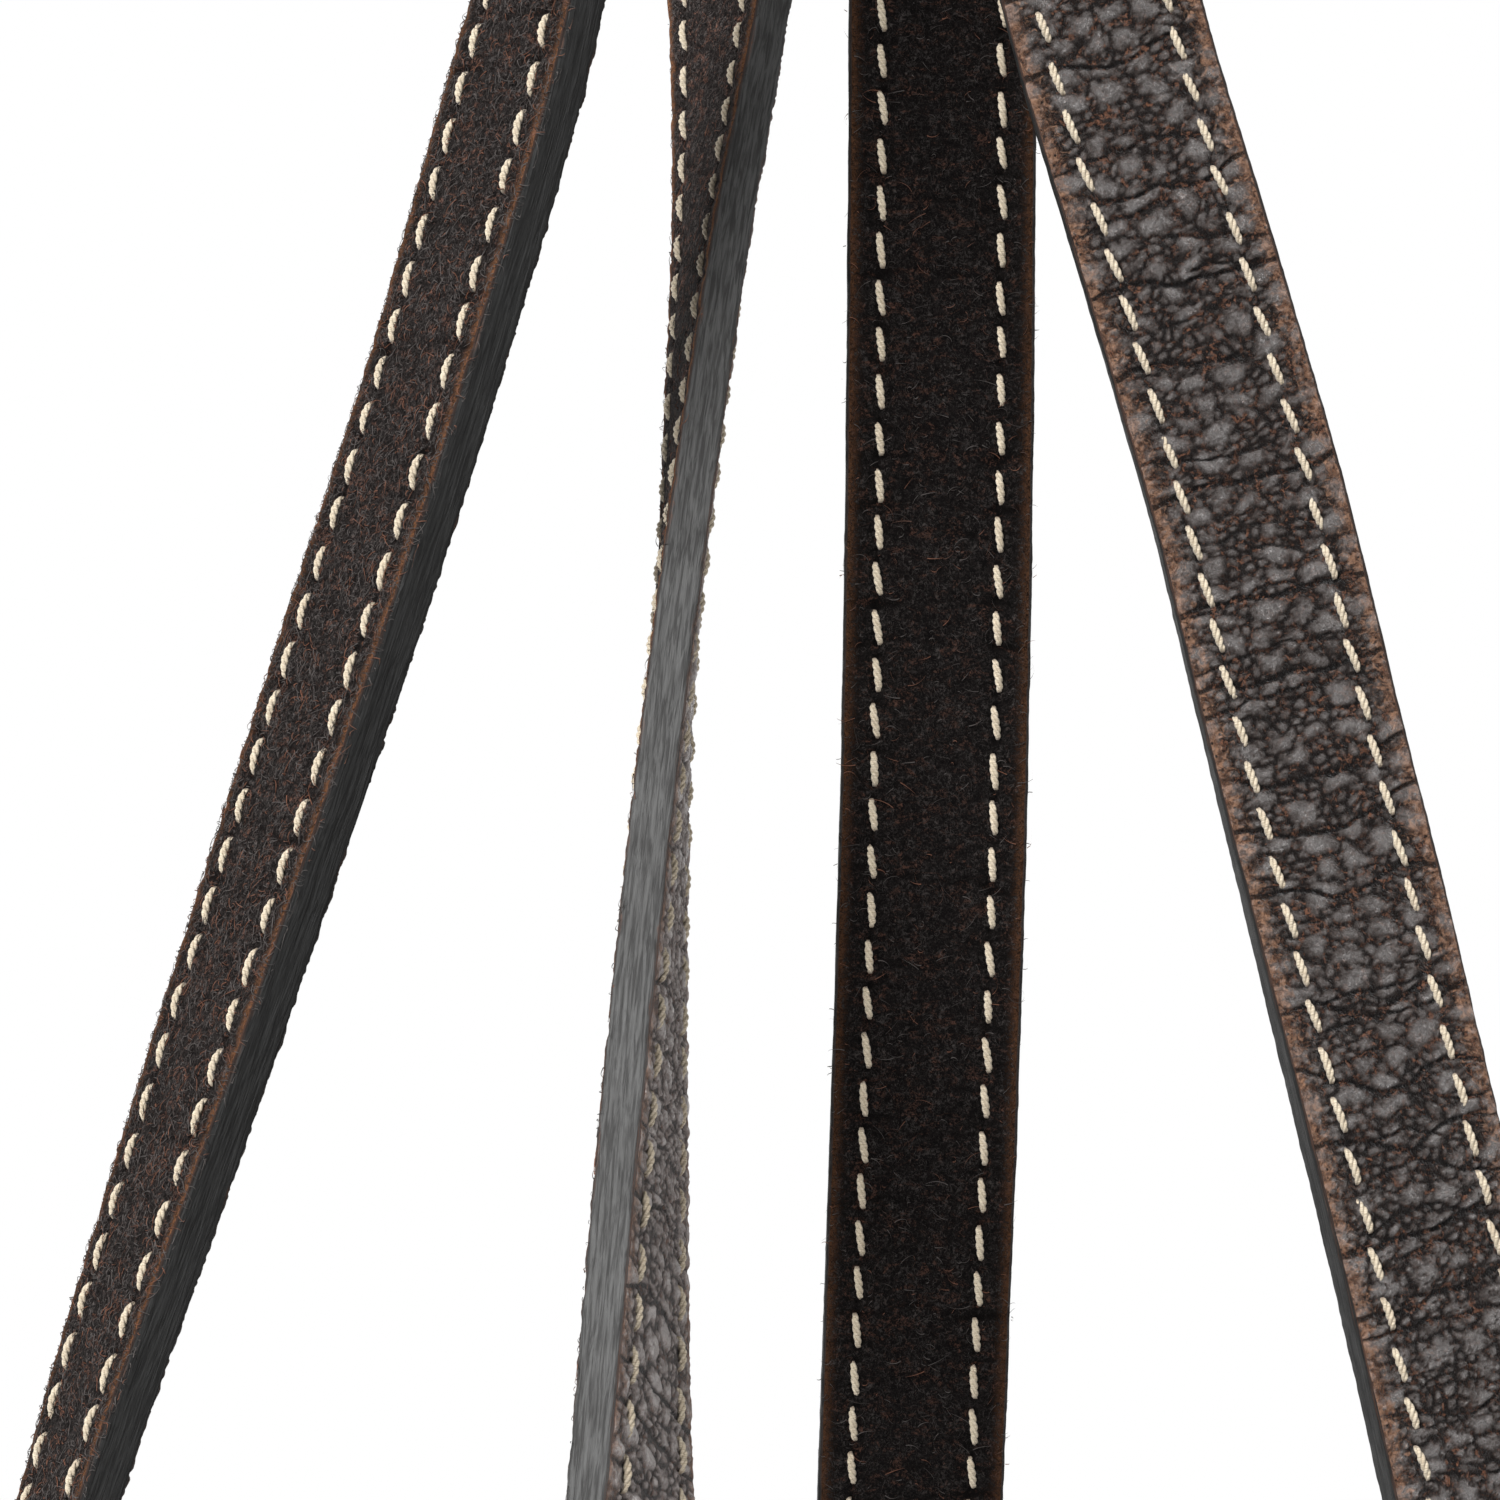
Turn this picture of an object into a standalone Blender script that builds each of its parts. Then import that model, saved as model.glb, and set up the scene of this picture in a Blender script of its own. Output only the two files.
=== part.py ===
"""Pair of stitched leather reins, hung doubled over a peg and buckled together at the centre.

Frame: origin on the underside of the folds, where they rest on top of the peg.
+Z is up, the peg runs along X, and -Y is the front, where the two bit strands hang.
"""
from math import acos, ceil, cos, degrees, pi, radians, sin

import bmesh
import bpy
from mathutils import Vector

MM = 0.001

# ---- driving dimensions (mm, degrees) ----------------------------------------------------
STRAP_WIDTH = 16.0
PLY = 1.65                 # thickness of one ply of leather
GLUE_GAP = 0.3             # clearance kept between pieces that touch
EDGE_CHAMFER = 0.4
SEAM_OFFSET = 5.1          # seam line from the middle of the strap
THREAD_WIDTH = 0.9
THREAD_HEIGHT = 0.45
THREAD_CLEARANCE = 0.15
PEG_RADIUS = 10.0
BEND_GAP = 1.2             # opening at a place where the leather bends
REIN_SPACING = 19.0        # between the middles of the two folds
BEND_Z = -330.0            # height where the lower part of a bit strand bends

BAR_RADIUS = 1.5
FRAME_LENGTH = 21.0        # heel bar to toe bar
FRAME_HALF_WIDTH = 10.2
TONGUE_RADIUS = 1.0
CHAPE_PLY = 1.5
POINT_PLY = 3.0
BUCKLE_Z = -400.0          # end of the right rein's two plies
HEEL_DROP = 12.0           # heel bar below that end
KEEPER_WALL = 1.5
KEEPER_LENGTH = 8.0

BILLET_PLY = 2.6
BILLET_WIDTH = 14.0
BIT_LOOP_RADIUS = 7.0      # clear radius of the loop for the bit ring
STUD_DROP = -14.0          # hook stud above the end of the two plies
STUD_RADIUS = 1.4

HALF_STACK = PLY + GLUE_GAP / 2
FOLD_RADIUS = PEG_RADIUS + HALF_STACK
HALF_SPACING = REIN_SPACING / 2

# Strand routes: x, y, z of the strap's middle, then the azimuth and elevation its flesh
# side faces.
LEFT_BIT_ROUTE = [
    (-9.5, -FOLD_RADIUS, -PEG_RADIUS, 90, 0), (-9.9, -12.1, -28, 103, 0),
    (-14.0, -12.4, -62, 160, 0), (-23.6, -13.0, -104.5, 214, 0),
    (-31.8, -16.8, -135.1, 215, 0), (-40.7, -19.7, -163.5, 214, 0),
    (-50.0, -23.4, -193.1, 210, 0), (-58.4, -26.5, -220.3, 203, 0),
    (-66.6, -27.5, -252, 193, 0), (-72.8, -26.0, -287, 184, 0),
    (-75.4, -22.5, -318, 180, 0), (-75.8, -18.5, -350, 180, 0), (-75.8, -15.0, -385, 180, 0),
    (-75.8, -14.0, -415, 180, 0), (-75.8, -14.0, -445, 180, 0), (-75.8, -14.0, -480, 180, 0),
]
RIGHT_BIT_ROUTE = [
    (9.5, -FOLD_RADIUS, -PEG_RADIUS, 90, 0), (10.2, -10.6, -34, 88, 0),
    (15.0, -4.6, -70, 86, 0), (21.9, -1.0, -102.3, 85, 0),
    (28.8, -1.0, -125.8, 86, 0), (33.3, -1.5, -141.5, 88, 0),
    (38.4, -3.7, -163.5, 91, 0), (41.9, -6.4, -179.2, 96, 0),
    (45.2, -9.0, -194.4, 101, 0), (48.6, -10.4, -209.5, 103, 0),
    (51.4, -11.7, -223, 104, 0), (57.2, -13.0, -255, 100, 0),
    (61.2, -14.0, -290, 93, 0), (62.5, -14.0, -322, 90, 0),
    (62.6, -14.0, -360, 90, 0), (62.6, -14.0, -560, 90, 0), (62.6, -14.0, -760, 90, 0),
]
RIGHT_HAND_ROUTE = [
    (9.5, FOLD_RADIUS, -PEG_RADIUS, 270, 0), (9.5, 12.0, -60, 270, 0),
    (9.5, 12.0, -113, 269, 0), (8.9, 12.0, -163.5, 269, 0),
    (8.0, 13.0, -196, 269, -2), (7.0, 16.0, -227.3, 270, -9),
    (6.8, 23.5, -256, 270, -18), (6.6, 34.0, -284, 270, -22),
    (6.6, 44.8, -308, 270, -20), (6.6, 53.4, -330, 270, -14), (6.6, 57.5, -344, 270, -5),
    (6.6, 58.0, -352, 270, 0), (6.6, 58.0, -362, 270, 0), (6.6, 58.0, BUCKLE_Z, 270, 0),
]
POINT_Y = 58.0 + 3.95
LEFT_HAND_ROUTE = [
    (-9.5, FOLD_RADIUS, -PEG_RADIUS, 270, 0), (-9.3, 15.5, -32, 265, 0),
    (-8.9, 23.5, -66, 240, 0), (-8.5, 22.7, -98, 213, 0),
    (-11.1, 7.5, -133, 192, 0), (-13.5, -7.7, -163.5, 180, 0),
    (-14.8, -22.9, -193.1, 167, 0), (-15.4, -35.6, -218.7, 155, 0),
    (-15.2, -48.5, -250, 128, 0), (-14.4, -57.5, -285, 102, 0),
    (-13.4, -62.5, -325, 92, 0), (-12.2, -64.0, -370, 90, 0),
    (-10.6, -61.5, -437, 90, 10), (-8.2, -49.5, -480, 90, 31),
    (-5.0, -25.0, -511, 90, 62), (-1.0, 7.0, -522, 90, 93),
    (3.0, 37.5, -509, 90, 130), (5.8, 56.0, -484, 90, 160),
    (6.6, POINT_Y, -461, 90, 178), (6.6, POINT_Y, -449, 90, 180),
]
UP = Vector((0, 0, 1))


# ---- scene and materials -----------------------------------------------------------------
def clear_scene():
    for obj in list(bpy.data.objects):
        bpy.data.objects.remove(obj, do_unlink=True)


def material(name, colour, roughness, metallic=0.0):
    mat = bpy.data.materials.new(name)
    mat.use_nodes = True
    shader = mat.node_tree.nodes["Principled BSDF"]
    shader.inputs["Base Color"].default_value = (*colour, 1.0)
    shader.inputs["Roughness"].default_value = roughness
    shader.inputs["Metallic"].default_value = metallic
    mat.diffuse_color = (*colour, 1.0)
    return mat


def add_mesh(name, verts, faces, mat, origin=None):
    """Make an object from points in mm, with its origin at the given point in mm."""
    origin = Vector(origin) if origin is not None else Vector(verts[0])
    mesh = bpy.data.meshes.new(name)
    mesh.from_pydata([(Vector(v) - origin) * MM for v in verts], [], faces)
    work = bmesh.new()
    work.from_mesh(mesh)
    bmesh.ops.recalc_face_normals(work, faces=work.faces)
    work.to_mesh(mesh)
    work.free()
    mesh.materials.append(mat)
    obj = bpy.data.objects.new(name, mesh)
    obj.location = origin * MM
    bpy.context.scene.collection.objects.link(obj)
    return obj


# ---- routes ------------------------------------------------------------------------------
class Station:
    """A place on a strap: its middle, the way it runs, its flesh side and its width."""

    def __init__(self, pos, run, flesh):
        self.pos = Vector(pos)
        self.run = Vector(run).normalized()
        flesh = Vector(flesh)
        self.flesh = (flesh - self.run * flesh.dot(self.run)).normalized()
        self.across = self.run.cross(self.flesh)

    def point(self, across, flesh, run=0.0):
        return self.pos + self.across * across + self.flesh * flesh + self.run * run


def facing(azimuth, elevation):
    a, e = radians(azimuth), radians(elevation)
    return Vector((cos(a) * cos(e), sin(a) * cos(e), sin(e)))


def blend_points(points, index, t):
    """Catmull-Rom value between points index and index + 1, on chord-length knots."""
    last = len(points) - 1
    quad = [points[max(0, min(last, index + k))] for k in (-1, 0, 1, 2)]
    quad = [tuple(float(c) for c in p) for p in quad]
    span = [max((Vector(quad[k + 1][:3]) - Vector(quad[k][:3])).length, 1e-6) for k in range(3)]
    if index == 0:
        span[0] = span[1]
        quad[0] = tuple(2 * a - b for a, b in zip(quad[1], quad[2]))
    if index + 1 == last:
        span[2] = span[1]
        quad[3] = tuple(2 * b - a for a, b in zip(quad[1], quad[2]))
    value = []
    for p0, p1, p2, p3 in zip(*quad):
        m1 = ((p2 - p1) / span[1] * span[0] + (p1 - p0) / span[0] * span[1]) / (span[0] + span[1])
        m2 = ((p3 - p2) / span[2] * span[1] + (p2 - p1) / span[1] * span[2]) / (span[1] + span[2])
        h = span[1]
        value.append((2 * t**3 - 3 * t**2 + 1) * p1 + (t**3 - 2 * t**2 + t) * h * m1
                     + (3 * t**2 - 2 * t**3) * p2 + (t**3 - t**2) * h * m2)
    return value


class Route:
    """A smooth strap route that can be read at any length along it."""

    FINE = 16

    def __init__(self, points):
        rows = []
        for index in range(len(points) - 1):
            rows += [blend_points(points, index, k / self.FINE) for k in range(self.FINE)]
        rows.append([float(c) for c in points[-1]])
        self.places = [Vector(row[:3]) for row in rows]
        self.facings = [facing(row[3], row[4]) for row in rows]
        self.lengths = [0.0]
        for a, b in zip(self.places, self.places[1:]):
            self.lengths.append(self.lengths[-1] + (b - a).length)
        self.runs = []
        for i in range(len(rows)):
            low, high = max(i - 1, 0), min(i + 1, len(rows) - 1)
            self.runs.append((self.places[high] - self.places[low]).normalized())

    @property
    def length(self):
        return self.lengths[-1]

    def at(self, s):
        i = 0
        while i < len(self.lengths) - 2 and self.lengths[i + 1] < s:
            i += 1
        t = (s - self.lengths[i]) / (self.lengths[i + 1] - self.lengths[i])
        return Station(self.places[i].lerp(self.places[i + 1], t),
                       self.runs[i].lerp(self.runs[i + 1], t),
                       self.facings[i].lerp(self.facings[i + 1], t))

    def find_z(self, z):
        for i in range(len(self.places) - 1):
            if self.places[i].z >= z >= self.places[i + 1].z:
                t = (self.places[i].z - z) / (self.places[i].z - self.places[i + 1].z)
                return self.lengths[i] + t * (self.lengths[i + 1] - self.lengths[i])
        raise ValueError(z)

    def stations(self, start, end, turn=11.0, step=45.0):
        """Stations close together where the strap bends or twists, far apart where not."""
        chosen = [start]
        turned = 0.0
        before = self.at(start)
        count = max(2, ceil((end - start) / 1.0))
        for k in range(1, count):
            s = start + (end - start) * k / count
            here = self.at(s)
            turned += degrees(acos(min(1.0, before.run.dot(here.run))))
            turned += degrees(acos(min(1.0, before.flesh.dot(here.flesh)))) * 0.8
            before = here
            if (turned > turn or s - chosen[-1] > step) and end - s > 2.0:
                chosen.append(s)
                turned = 0.0
        return chosen + [end]


# ---- swept shapes ------------------------------------------------------------------------
def sweep(name, stations, section, mat, origin=None, closed=False):
    """Run a closed section of (across, flesh) points along stations."""
    size = len(section)
    verts = [st.point(a, f) for st in stations for a, f in section]
    rings = len(stations)
    faces = []
    for i in range(rings if closed else rings - 1):
        here, there = i * size, ((i + 1) % rings) * size
        for k in range(size):
            n = (k + 1) % size
            faces.append((here + k, here + n, there + n, there + k))
    if not closed:
        faces.append(tuple(range(size)))
        faces.append(tuple(range((rings - 1) * size, rings * size)))
    return add_mesh(name, verts, faces, mat, origin)


def ply_section(side):
    """One ply of the strap; side +1 is the flesh-side lining, -1 the grain-side outer."""
    half, inner, outer = STRAP_WIDTH / 2, side * GLUE_GAP / 2, side * HALF_STACK
    shoulder = outer - side * EDGE_CHAMFER
    return [(-half, inner), (half, inner), (half, shoulder), (half - EDGE_CHAMFER, outer),
            (SEAM_OFFSET, outer), (-SEAM_OFFSET, outer), (EDGE_CHAMFER - half, outer),
            (-half, shoulder)]


def rect_section(half_width, half_depth, middle=0.0):
    return [(-half_width, middle - half_depth), (half_width, middle - half_depth),
            (half_width, middle + half_depth), (-half_width, middle + half_depth)]


def round_section(radius, sides=8):
    return [(radius * cos(2 * pi * (k + 0.5) / sides), radius * sin(2 * pi * (k + 0.5) / sides))
            for k in range(sides)]


def stitching(name, route, marks, side, mat, origin=None):
    """The thread of both seams on one face, with the closing stitch across its lower end."""
    start, end = marks[0] + 1.0, marks[-1] - 1.0
    inner = [s for s in marks[1:-1] if start + 1.5 < s < end - 3.0]
    stations = [route.at(s) for s in [start] + inner + [end - 1.2, end]]
    low = side * (HALF_STACK + THREAD_CLEARANCE)
    high = low + side * THREAD_HEIGHT
    wide, narrow = THREAD_WIDTH / 2, THREAD_WIDTH / 3
    section = [(SEAM_OFFSET + wide, low), (SEAM_OFFSET + narrow, high),
               (SEAM_OFFSET - narrow, high), (SEAM_OFFSET - wide, low),
               (wide - SEAM_OFFSET, low), (narrow - SEAM_OFFSET, high),
               (-narrow - SEAM_OFFSET, high), (-wide - SEAM_OFFSET, low)]
    verts = [st.point(a, f) for st in stations for a, f in section]
    faces = [(0, 1, 2, 3), (4, 5, 6, 7)]
    bar = len(stations) - 2
    for i in range(bar):
        for first in (0, 4):
            for k in range(4):
                n = (k + 1) % 4
                here, there = 8 * i + first, 8 * (i + 1) + first
                faces.append((here + k, here + n, there + n, there + k))
    h, t = 8 * bar, 8 * (bar + 1)
    faces += [(h + 3, h + 2, h + 5, h + 4),
              (h, h + 1, t + 1, t), (h + 6, h + 7, t + 7, t + 6),
              (h + 1, h + 2, t + 2, t + 1), (h + 2, h + 5, t + 5, t + 2), (h + 5, h + 6, t + 6, t + 5),
              (h + 3, h, t, t + 3), (h + 4, h + 3, t + 3, t + 4), (h + 7, h + 4, t + 4, t + 7),
              (t, t + 1, t + 2, t + 3), (t + 3, t + 2, t + 5, t + 4), (t + 4, t + 5, t + 6, t + 7)]
    return add_mesh(name, verts, faces, mat, origin)


def strap_length(prefix, route, start, end, mats, origin=None, faces="both"):
    """Both plies and the stitching of one length of a rein."""
    marks = route.stations(start, end)
    stations = [route.at(s) for s in marks]
    outer = sweep(prefix + "_outer_ply", stations, ply_section(-1), mats["outer"], origin)
    lining = sweep(prefix + "_lining_ply", stations, ply_section(1), mats["lining"], origin)
    stitching(prefix + "_grain_stitching", route, marks, -1, mats["thread"], origin)
    if faces == "both":
        stitching(prefix + "_flesh_stitching", route, marks, 1, mats["thread"], origin)
    return outer, lining


def flat_path(base, points):
    """Stations of a strip that lies in the plane of run and flesh at a base station."""
    places = [base.point(0, f, u) for u, f in points]
    stations = []
    for i, place in enumerate(places):
        run = places[min(i + 1, len(places) - 1)] - places[max(i - 1, 0)]
        stations.append(Station(place, run, run.cross(base.across) * -1.0))
    return stations


def rounded_rectangle(half_width, low, high, radius, steps=3):
    corners = [(half_width - radius, high - radius, 0), (radius - half_width, high - radius, 90),
               (radius - half_width, low + radius, 180), (half_width - radius, low + radius, 270)]
    loop = []
    for a, f, turn in corners:
        for k in range(steps):
            angle = radians(turn + 90 * k / (steps - 1))
            loop.append((a + radius * cos(angle), f + radius * sin(angle)))
    return loop


def keeper(name, base, start, low, high, half_width, mat, origin=None):
    """A flat leather loop round the strap, from run distance start onwards."""
    wall = KEEPER_WALL
    inside = rounded_rectangle(half_width, low, high, 0.6)
    outside = rounded_rectangle(half_width + wall, low - wall, high + wall, 1.9)
    size = len(inside)
    verts = []
    for loop, u in ((inside, start), (outside, start), (outside, start + KEEPER_LENGTH),
                    (inside, start + KEEPER_LENGTH)):
        verts += [base.point(a, f, u) for a, f in loop]
    faces = []
    for ring in range(4):
        here, there = ring * size, ((ring + 1) % 4) * size
        for k in range(size):
            n = (k + 1) % size
            faces.append((here + k, here + n, there + n, there + k))
    return add_mesh(name, verts, faces, mat, origin)


# ---- holes -------------------------------------------------------------------------------
def cut_slot(target, base, run, flesh_low, flesh_high, half_width, half_length, name):
    """Cut an oval hole through a piece, along the flesh direction of a base station."""
    loop = []
    for k in range(12):
        angle = 2 * pi * (k + 0.5) / 12
        stretch = half_length - half_width
        shift = stretch if sin(angle) > 0 else -stretch
        loop.append((half_width * cos(angle), half_width * sin(angle) + shift))
    verts = [base.point(a, f, run + u) for f in (flesh_low, flesh_high) for a, u in loop]
    faces = [tuple(range(12)), tuple(range(12, 24))]
    faces += [(k, (k + 1) % 12, 12 + (k + 1) % 12, 12 + k) for k in range(12)]
    cutter = add_mesh(name, verts, faces, target.data.materials[0])
    cutter.hide_render = True
    cutter.hide_viewport = False
    cutter.display_type = "WIRE"
    cut = target.modifiers.new(name, "BOOLEAN")
    cut.operation = "DIFFERENCE"
    cut.solver = "EXACT"
    cut.object = cutter


# ---- buckle ------------------------------------------------------------------------------
def build_buckle(base, mats):
    """Chape, frame, tongue, keepers and the left rein's point, round the right rein's end.

    Distances here are measured along the strap from the end of its plies (run) and
    towards the grain side (grain), which is the outside of the loop.
    """
    heel = -1.6                                     # grain position of the heel bar
    point_mid = heel + BAR_RADIUS + 2.55 + POINT_PLY / 2
    toe = point_mid + POINT_PLY / 2 + GLUE_GAP + BAR_RADIUS
    pivot = base.point(0, -heel, HEEL_DROP)

    turn = BAR_RADIUS + GLUE_GAP + CHAPE_PLY / 2
    path = [(GLUE_GAP, -(heel + turn)), (6.0, -(heel + turn))]
    for angle in range(90, -91, -30):
        a = radians(angle)
        path.append((HEEL_DROP + turn * cos(a), -(heel + turn * sin(a))))
    path += [(6.0, 3.5), (-2.0, 3.3), (-26.0, 3.3)]
    chape = sweep("buckle_chape", flat_path(base, path),
                  rect_section(STRAP_WIDTH / 2, CHAPE_PLY / 2), mats["lining"])
    cut_slot(chape, base, HEEL_DROP, -8.0, 12.0, 1.6, 7.0, "cut_chape_slot")

    corner = 2.6
    outline = []
    for a, u, start in ((FRAME_HALF_WIDTH, 0, -90), (FRAME_HALF_WIDTH, 1, 0),
                        (-FRAME_HALF_WIDTH, 1, 90), (-FRAME_HALF_WIDTH, 0, 180)):
        mid_a = a - corner if a > 0 else a + corner
        mid_u = u * FRAME_LENGTH + (corner if u == 0 else -corner)
        for k in range(3):
            angle = radians(start + 45 * k)
            outline.append((mid_a + corner * cos(angle), mid_u + corner * sin(angle)))
    rise = (toe - heel) / FRAME_LENGTH
    places = [base.point(a, -(heel + rise * u), HEEL_DROP + u) for a, u in outline]
    ring = []
    for i, place in enumerate(places):
        run = places[(i + 1) % len(places)] - places[i - 1]
        ring.append(Station(place, run, base.flesh + base.run * rise))
    sweep("buckle_frame", ring, round_section(BAR_RADIUS), mats["metal"], pivot, closed=True)

    curl = BAR_RADIUS + 0.25 + TONGUE_RADIUS
    path = []
    for angle in range(-340, -39, 30):
        a = radians(angle)
        path.append((HEEL_DROP + curl * cos(a), -(heel + curl * sin(a))))
    top = toe - heel + BAR_RADIUS + 0.2 + TONGUE_RADIUS
    for u, g in ((4.5, 1.0), (7.2, 4.6), (9.6, 7.6), (14.0, top - 1.7), (20.5, top), (24.0, top)):
        path.append((HEEL_DROP + u, -(heel + g)))
    sweep("buckle_tongue", flat_path(base, path), round_section(TONGUE_RADIUS, 6),
          mats["metal"], pivot)

    length = [-58.0, -52.0, -20.0, 49.0 - GLUE_GAP]
    point = tip_strip("left_rein_point", base, length, -point_mid, POINT_PLY / 2, mats["outer"])
    low, high = -(point_mid + POINT_PLY), -(point_mid - POINT_PLY)
    cut_slot(point, base, HEEL_DROP + 7.9, low, high, 1.7, 5.0, "cut_point_used_hole")
    for k, run in enumerate((-2.0, -22.0, 40.0)):
        cut_slot(point, base, run, low, high, 1.2, 2.2, "cut_point_hole_%d" % k)

    reach = point_mid + POINT_PLY / 2 + GLUE_GAP
    keeper("buckle_fixed_keeper", base, -10.0, -reach, 3.3 + CHAPE_PLY / 2 + GLUE_GAP,
           STRAP_WIDTH / 2 + GLUE_GAP, mats["outer"])
    slide = base.point(0, 0, -44.0)
    keeper("buckle_running_keeper", base, -44.0, -reach, HALF_STACK + 0.9,
           STRAP_WIDTH / 2 + GLUE_GAP, mats["outer"], slide)


def tip_strip(name, base, runs, middle, half, mat):
    """A flat strip whose first end narrows to a rounded tip."""
    widths = [(runs[0], 2.6), (runs[0] + 1.4, 4.6), (runs[0] + 3.6, 6.6), (runs[1], 8.0)]
    rows = widths + [(u, STRAP_WIDTH / 2) for u in runs[2:]]
    verts, faces = [], []
    for u, half_width in rows:
        for a, f in rect_section(half_width, half, middle):
            verts.append(base.point(a, f, u))
    for i in range(len(rows) - 1):
        for k in range(4):
            n = (k + 1) % 4
            faces.append((4 * i + k, 4 * i + n, 4 * i + 4 + n, 4 * i + 4 + k))
    last = 4 * (len(rows) - 1)
    faces += [(0, 1, 2, 3), (last, last + 1, last + 2, last + 3)]
    return add_mesh(name, verts, faces, mat)


# ---- bit ends ----------------------------------------------------------------------------
def build_bit_end(side, base, plies, mats):
    """Billet that loops through the bit ring and hooks back onto a stud on the flesh side."""
    tail = HALF_STACK + 0.7 + BILLET_PLY / 2
    middle = tail / 2
    turn = BIT_LOOP_RADIUS + BILLET_PLY / 2
    centre = 38.0
    path = [(GLUE_GAP, 0.0), (12.0, 0.0), (20.0, -0.7), (27.0, -3.4)]
    for angle in (-112, -88, -62, -38):
        a = radians(angle)
        path.append((centre + turn * cos(a), middle + turn * sin(a)))
    flat = turn - 0.6
    path += [(centre + flat, middle - 3.0), (centre + flat, middle + 3.0)]
    for angle in (38, 62, 88, 112):
        a = radians(angle)
        path.append((centre + turn * cos(a), middle + turn * sin(a)))
    path += [(27.0, 2 * middle + 3.4), (20.0, tail + 0.7), (12.0, tail), (-4.0, tail), (-36.0, tail)]
    billet = sweep(side + "_billet", flat_path(base, path),
                   rect_section(BILLET_WIDTH / 2, BILLET_PLY / 2), mats["outer"])
    cut_slot(billet, base, STUD_DROP, tail - 3.0, tail + 3.0, 1.8, 4.5, "cut_%s_billet_slit" % side)

    for number, ply in enumerate(plies):
        cut_slot(ply, base, STUD_DROP, -4.0, 4.0, STUD_RADIUS + 0.3, STUD_RADIUS + 0.3,
                 "cut_%s_stud_hole_%d" % (side, number))

    head = -HALF_STACK - GLUE_GAP
    over = tail + BILLET_PLY / 2
    path = [(0.0, head - 1.0, 2.4), (0.0, head - 0.6, 3.4), (0.0, head - 0.02, 3.4),
            (0.0, head, STUD_RADIUS), (0.0, over + 0.6, STUD_RADIUS),
            (-0.8, over + 2.2, STUD_RADIUS), (-2.6, over + 3.0, STUD_RADIUS),
            (-4.6, over + 2.6, STUD_RADIUS + 0.2), (-5.8, over + 2.2, STUD_RADIUS - 0.3)]
    stud_sweep(side + "_hook_stud", base, path, mats["metal"])

    top = tail + BILLET_PLY / 2 + GLUE_GAP
    keeper(side + "_billet_fixed_keeper", base, -9.0, -HALF_STACK - 0.9, top,
           STRAP_WIDTH / 2 + GLUE_GAP, mats["outer"])
    slide = base.point(0, 0, -32.0)
    keeper(side + "_billet_running_keeper", base, -32.0, -HALF_STACK - 0.9, top,
           STRAP_WIDTH / 2 + GLUE_GAP, mats["outer"], slide)


def stud_sweep(name, base, path, mat):
    """A round pin with a wide head whose far end bends over into a hook."""
    sides = 10
    places = [base.point(0, f, STUD_DROP + u) for u, f, _ in path]
    verts, faces = [], []
    for i, (u, f, radius) in enumerate(path):
        run = places[min(i + 1, len(path) - 1)] - places[max(i - 1, 0)]
        normal = run.cross(base.across).normalized()
        for k in range(sides):
            angle = 2 * pi * k / sides
            verts.append(places[i] + base.across * (radius * cos(angle)) + normal * (radius * sin(angle)))
    for i in range(len(path) - 1):
        for k in range(sides):
            n = (k + 1) % sides
            faces.append((sides * i + k, sides * i + n, sides * (i + 1) + n, sides * (i + 1) + k))
    last = sides * (len(path) - 1)
    faces += [tuple(range(sides)), tuple(range(last, last + sides))]
    add_mesh(name, verts, faces, mat)


# ---- the whole pair ----------------------------------------------------------------------
def fold_route(x):
    """Half turn over the peg, from the back strand to the front strand."""
    points = []
    for k in range(9):
        angle = pi * k / 8
        points.append((x, FOLD_RADIUS * cos(angle), FOLD_RADIUS * sin(angle) - PEG_RADIUS,
                       90, 180 + 180 * k / 8))
    return Route(points)


def main():
    clear_scene()
    mats = {
        "outer": material("bridle_leather_grain", (0.030, 0.017, 0.012), 0.55),
        "lining": material("bridle_leather_flesh", (0.045, 0.026, 0.018), 0.9),
        "thread": material("linen_thread", (0.62, 0.54, 0.40), 0.8),
        "metal": material("stainless_steel", (0.62, 0.62, 0.60), 0.3, 1.0),
    }
    for side, x in (("left", -HALF_SPACING), ("right", HALF_SPACING)):
        fold = fold_route(x)
        strap_length(side + "_fold", fold, 0.0, fold.length, mats, faces="grain")

    half_gap = BEND_GAP / 2
    for side, points in (("left", LEFT_BIT_ROUTE), ("right", RIGHT_BIT_ROUTE)):
        route = Route(points)
        bend = route.find_z(BEND_Z)
        top_pivot = Vector(points[0][:3]) - UP * half_gap
        strap_length(side + "_bit_strand", route, BEND_GAP, bend - half_gap, mats, top_pivot)
        low_pivot = route.at(bend).pos
        plies = strap_length(side + "_bit_end", route, bend + half_gap, route.length, mats, low_pivot)
        build_bit_end(side, route.at(route.length), plies, mats)

    pivot = Vector((0, FOLD_RADIUS, -PEG_RADIUS - half_gap))
    for side, points in (("left", LEFT_HAND_ROUTE), ("right", RIGHT_HAND_ROUTE)):
        route = Route(points)
        strap_length(side + "_hand_strand", route, BEND_GAP, route.length, mats, pivot)
    build_buckle(Route(RIGHT_HAND_ROUTE).at(Route(RIGHT_HAND_ROUTE).length), mats)


main()
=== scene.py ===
"""Leather reins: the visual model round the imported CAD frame, with its camera and lights.

Lengths are millimetres up to build_mesh, which makes metres of them. On a strap, s is the length
from the top of its fold, w the distance across from its middle, f the one to its flesh side.
"""
from collections import namedtuple
from math import cos, degrees, pi, radians, sin

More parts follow.
